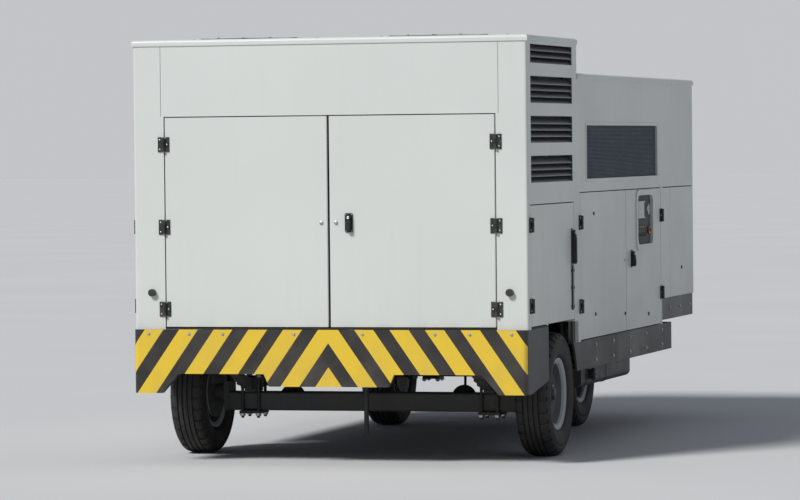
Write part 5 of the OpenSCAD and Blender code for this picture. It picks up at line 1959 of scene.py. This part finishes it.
@dataclass
class Engine(Assembly):
    """What shows of the engine when the side doors are open."""

    rib: float = 0.022
    ribs: int = 9
    margin: float = 0.10
    sump_out: float = 0.050
    sump_bolts: int = 7
    hose: float = 0.014
    pipe: float = 0.038
    canister: Outline = ((0.0, -0.11), (0.040, -0.11), (0.047, -0.10), (0.047, 0.085), (0.050, 0.090),
                         (0.050, 0.105), (0.030, 0.110), (0.0, 0.110))
    cleaner: Outline = ((0.0, -0.20), (0.085, -0.20), (0.095, -0.19), (0.095, 0.15), (0.100, 0.155),
                        (0.100, 0.175), (0.092, 0.180), (0.050, 0.200), (0.0, 0.200))

    def flank(self, side: Side) -> None:
        """Dresses one side of the block with ribs, sump, filter and hose.

        Args:
            side: The side.
        """
        low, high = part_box("engine_block")
        length, middle = high.y - low.y, (low + high) / 2
        sign, x = side.value, (low if side is Side.LEFT else high).x
        rib = block("rib", (x - sign * 0.004, low.y + self.margin, low.z + 0.10),
                    (x + sign * 0.022, low.y + self.margin + self.rib, low.z + 0.52), 0.006, 3)
        pitch = (length - 2 * self.margin - self.rib) / (self.ribs - 1)
        ribs = row(rib, self.ribs, (0.0, pitch, 0.0))
        ribs.name = f"engine_ribs_{side.word}"
        self.dress(ribs, "cast")
        sump = block(f"engine_sump_{side.word}", (x - sign * 0.004, low.y + 0.12, low.z + 0.012),
                     (x + sign * self.sump_out, high.y - 0.12, low.z + 0.085), 0.014, 4)
        self.dress(sump, "tank")
        self.bolt(f"sump_bolts_{side.word}", [
            (x + sign * self.sump_out, low.y + 0.17 + i * (length - 0.34) / (self.sump_bolts - 1),
             low.z + 0.05) for i in range(self.sump_bolts)], Axis.X, sign, 0.009)
        canister = turned(f"oil_filter_{side.word}", self.canister,
                          (x + sign * 0.075, low.y + 0.30, low.z + 0.40), Axis.Z, 40)
        self.dress(canister, "amber" if side is Side.LEFT else "filter")
        bracket = block(f"filter_head_{side.word}", (x - sign * 0.002, low.y + 0.25, low.z + 0.505),
                        (x + sign * 0.12, low.y + 0.35, low.z + 0.545), 0.008, 3)
        self.dress(bracket, "cast")
        self.dress(tube(f"engine_hose_{side.word}", [
            (x + sign * 0.06, low.y + 0.33, low.z + 0.54),
            (x + sign * 0.10, low.y + 0.50, low.z + 0.62),
            (x + sign * 0.07, middle.y + 0.10, low.z + 0.60),
            (x + sign * 0.06, high.y - 0.20, low.z + 0.42),
            (x + sign * 0.01, high.y - 0.14, low.z + 0.40)], self.hose), "seal")

    def top(self) -> None:
        """Adds the rocker cover, the air cleaner, the exhaust pipe and the belt cover."""
        low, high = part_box("engine_block")
        middle = (low + high) / 2
        cover = block("rocker_cover", (middle.x - 0.14, low.y + 0.14, high.z - 0.002),
                      (middle.x + 0.14, high.y - 0.30, high.z + 0.055), 0.02, 4)
        on_faces(cover, lambda face: face.normal.z > 0.9, inset(0.03, -0.008))
        self.dress(cover, "slate")
        cleaner = turned("air_cleaner", self.cleaner,
                         (middle.x + 0.25, middle.y - 0.05, high.z + 0.098), Axis.Y)
        self.dress(cleaner, "tank")
        stack_low, stack_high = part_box("exhaust_stack")
        stack = (stack_low + stack_high) / 2
        self.dress(tube("exhaust_pipe", [
            (low.x + 0.08, low.y + 0.30, high.z - 0.01), (low.x + 0.08, low.y + 0.30, high.z + 0.12),
            (low.x - 0.02, low.y + 0.28, high.z + 0.24), (stack.x + 0.12, stack.y + 0.06, high.z + 0.26),
            (stack.x, stack.y, high.z + 0.30), (stack.x, stack.y, self.places.low_eave + 0.001)],
            self.pipe), "exhaust")
        housing = block("belt_cover", (middle.x - 0.30, low.y - 0.070, low.z + 0.08),
                        (middle.x + 0.30, low.y + 0.002, high.z - 0.06), 0.03, 5)
        on_faces(housing, lambda face: face.normal.y < -0.9, inset(0.05, 0.015))
        self.dress(housing, "slate")

    def build(self) -> None:
        """Dresses the plain block."""
        self.coat("cast", "engine_block")
        self.coat("exhaust", "exhaust_stack")
        for side in Side:
            self.flank(side)
        self.top()


@dataclass
class Wheels(Assembly):
    """Tyres with their tread, and what is on the rims."""

    rim_radius: float = 0.207
    stud_circle: float = 0.078
    studs: int = 6
    groove: float = 0.009
    grooves: tuple[float, float] = (0.045, 0.015)
    groove_halves: tuple[float, float] = (0.0045, 0.003)
    steps: int = 96
    lug_every: int = 3
    lug_depth: float = 0.006
    bead: Outline = ((-0.016, 0.033), (0.001, 0.029), (0.006, 0.024), (0.020, 0.010), (0.024, 0.0085),
                     (0.028, 0.0075), (0.055, 0.001), (0.080, 0.0), (0.084, 0.0025), (0.100, 0.004),
                     (0.104, 0.001))
    shoulder: Outline = ((0.026, 0.005), (0.012, 0.014), (0.004, 0.026), (0.001, 0.040))
    nut_lip: Outline = ((0.0, 0.0), (0.0105, 0.0), (0.0105, 0.002), (0.008, 0.003), (0.0, 0.003))
    hub_cap: Outline = ((0.0, 0.066), (0.020, 0.0655), (0.031, 0.061), (0.036, 0.053), (0.036, 0.0515),
                        (0.0405, 0.0505), (0.0405, 0.049), (0.0, 0.049))
    stem: Sequence[Triple] = ((0.022, 0, 0.152), (0.034, 0, 0.153), (0.046, 0, 0.158),
                              (0.058, 0, 0.166))

    def outline(self, radius: float, half: float) -> Outline:
        """Draws a tyre's section.

        Args:
            radius: The tyre's radius.
            half: Half its width.

        Returns:
            Points as radius and distance from the middle.
        """
        section = [(self.rim_radius + out, half - inwards) for out, inwards in self.bead]
        section += [(radius - deep, half - inwards) for deep, inwards in self.shoulder]
        wide, narrow = self.groove_halves
        floor = radius - self.groove
        for middle in self.grooves:
            section += [(radius, middle + wide), (floor, middle + narrow), (floor, middle - narrow),
                        (radius, middle - wide)]
        return section + [(r, -h) for r, h in reversed(section)]

    def tyre(self) -> Piece:
        """Turns one tyre and cuts its shoulders.

        Returns:
            The tyre, round X at the origin.
        """
        low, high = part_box("tyre_rear_right")
        radius, half = (high.z - low.z) / 2, (high.x - low.x) / 2
        tyre = turned("tyre", self.outline(radius, half), axis=Axis.X, steps=self.steps)

        def lug_gap(face: bpy.types.MeshPolygon) -> bool:
            """Picks the narrow gaps across the shoulder.

            Args:
                face: A face of the tyre.

            Returns:
                Whether it lies in one.
            """
            x, y, z = face.center
            column = int(math.atan2(z, y) % math.tau / math.tau * self.steps)
            return column % self.lug_every == 0 and math.hypot(y, z) > radius - 0.024 and abs(x) > 0.052

        on_faces(tyre, lug_gap, sink(self.lug_depth))
        return soften(tyre, 30.0)

    def fittings(self) -> tuple[Piece, Piece, Piece]:
        """Makes what one wheel carries.

        Returns:
            Stud ends, hub cap and valve, round X at the origin.
        """
        stud = rod("stud", (0.026, 0, 0), (0.038, 0, 0), 0.0065, 12, bevel=0.0015)
        lip = turned("lip", self.nut_lip, (0.0275, 0, 0), Axis.X, 16)
        out = Matrix.Translation((0, 0, self.stud_circle))
        studs = repeated("studs", joined("stud", [stud, lip]), [
            Matrix.Rotation(math.radians(360 / self.studs * i), 4, "X") @ out
            for i in range(self.studs)])
        cap = turned("hub_cap", self.hub_cap, axis=Axis.X, steps=40)
        stem = tube("valve", self.stem, 0.004)
        tip = rod("tip", (0.056, 0, 0.1645), (0.064, 0, 0.170), 0.0052, 12, bevel=0.001)
        return studs, cap, joined("valve", [stem, tip])

    def build(self) -> None:
        """Makes and dresses the wheels."""
        tyre, fittings = self.tyre(), self.fittings()
        for end in ("rear", "front"):
            for side in Side:
                word = f"{end}_{side.word}"
                node = f"tyre_{word}"
                low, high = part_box(node)
                hub = Matrix.Translation((low + high) / 2)
                turn = Matrix.Identity(4) if side is Side.RIGHT else Matrix.Rotation(math.pi, 4, "Z")
                for part, finish in zip(fittings, ("zinc", "black", "seal")):
                    self.dress(copy_of(part, hub @ turn, f"{part.name}_{word}"), finish, f"wheel_{word}")
                piece = copy_of(tyre, hub, f"tread_{word}")
                self.dress(piece, "tyre", f"wheel_{word}", "tyre")
                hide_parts(node)
                self.coat("rim", f"rim_{word}")
        for part in (tyre, *fittings):
            bpy.data.objects.remove(part)


@dataclass
class Studio:
    """Floor, light and camera."""

    camera_x: float = 6.66
    camera_back: float = 22.6
    camera_z: float = 1.8
    yaw: float = -15.45
    pitch: float = -1.45
    roll: float = 0.57
    lens: float = 189.0
    sight: float = 1000.0
    sun_turn: Triple = (48.0, 0.0, -32.0)
    sun_power: float = 3.0
    sun_size: float = 14.0
    sky: Triple = (0.20, 0.22, 0.26)
    floor: Triple = (0.66, 0.66, 0.65)
    floor_size: float = 400.0
    mean_share: float = 0.98

    def build_camera(self, rear: float) -> None:
        """Adds the camera.

        Args:
            rear: Where the housing's rear face is along Y.
        """
        leave_edit()
        bpy.ops.object.camera_add(location=(self.camera_x, rear - self.camera_back, self.camera_z))
        camera = bpy.context.object
        yaw, pitch = math.radians(self.yaw), math.radians(self.pitch)
        aim = Vector((math.sin(yaw) * math.cos(pitch), math.cos(yaw) * math.cos(pitch), math.sin(pitch)))
        roll = Matrix.Rotation(math.radians(self.roll), 3, aim)
        camera.rotation_euler = (roll @ aim.to_track_quat("-Z", "Y").to_matrix()).to_euler()
        camera.data.lens = self.lens
        camera.data.clip_end = self.sight
        bpy.context.scene.camera = camera

    def backdrop(self) -> Triple:
        """Returns the colour that the lit floor has, for the camera to see behind it."""
        lit = self.sun_power * math.cos(math.radians(self.sun_turn[0])) / math.pi
        return tuple(f * self.mean_share * (lit + s) for f, s in zip(self.floor, self.sky))

    def build_light(self) -> None:
        """Adds the sky and one soft key light from behind the striped end."""
        bpy.ops.object.light_add(type="SUN", rotation=[math.radians(a) for a in self.sun_turn])
        sun = bpy.context.object.data
        sun.energy, sun.angle = self.sun_power, math.radians(self.sun_size)
        world = bpy.data.worlds.new("studio")
        bpy.context.scene.world = world
        world.use_nodes = True
        tree = world.node_tree
        sky = tree.nodes["Background"]
        sky.inputs["Color"].default_value = (*self.sky, 1.0)
        seen = tree.nodes.new("ShaderNodeBackground")
        seen.inputs["Color"].default_value = (*self.backdrop(), 1.0)
        path = tree.nodes.new("ShaderNodeLightPath")
        mix = tree.nodes.new("ShaderNodeMixShader")
        rays = path.outputs["Is Camera Ray"]
        for other in ("Is Glossy Ray", "Is Transmission Ray"):
            either = tree.nodes.new("ShaderNodeMath")
            either.operation = "MAXIMUM"
            tree.links.new(rays, either.inputs[0])
            tree.links.new(path.outputs[other], either.inputs[1])
            rays = either.outputs[0]
        for source, target in ((rays, mix.inputs[0]), (sky.outputs[0], mix.inputs[1]),
                               (seen.outputs[0], mix.inputs[2]),
                               (mix.outputs[0], tree.nodes["World Output"].inputs["Surface"])):
            tree.links.new(source, target)

    def build_floor(self) -> None:
        """Adds the pale floor."""
        bpy.ops.mesh.primitive_plane_add(size=self.floor_size, location=(0, 0, -0.0005))
        floor = bpy.context.object
        floor.name = "floor"
        s = Shading("floor_paint")
        s.set(roughness=0.9, specular_ior_level=0.1)
        tone = s.mix(s.span(s.noise(0.35, 3.0), 0.3, 0.7), self.floor, darker(self.floor, 0.96))
        floor.data.materials.append(s.finish(tone))

    def build(self, rear: float) -> None:
        """Sets the stage.

        Args:
            rear: Where the housing's rear face is along Y.
        """
        bpy.context.scene.view_settings.view_transform = "Standard"
        self.build_camera(rear)
        self.build_light()
        self.build_floor()


def main() -> None:
    """Builds every sub-assembly, then the studio."""
    logging.basicConfig(level=logging.INFO, format="%(message)s")
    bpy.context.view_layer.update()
    places = Places.read()
    store = Store(places)
    for group in (Housing, Doors, ControlPanel, StripedBoard, Cooling, Chassis, Steering, Engine,
                  Wheels):
        group(places, store).build()
    Studio().build(places.rear)
    leave_edit()


if __name__ == "__main__":
    main()
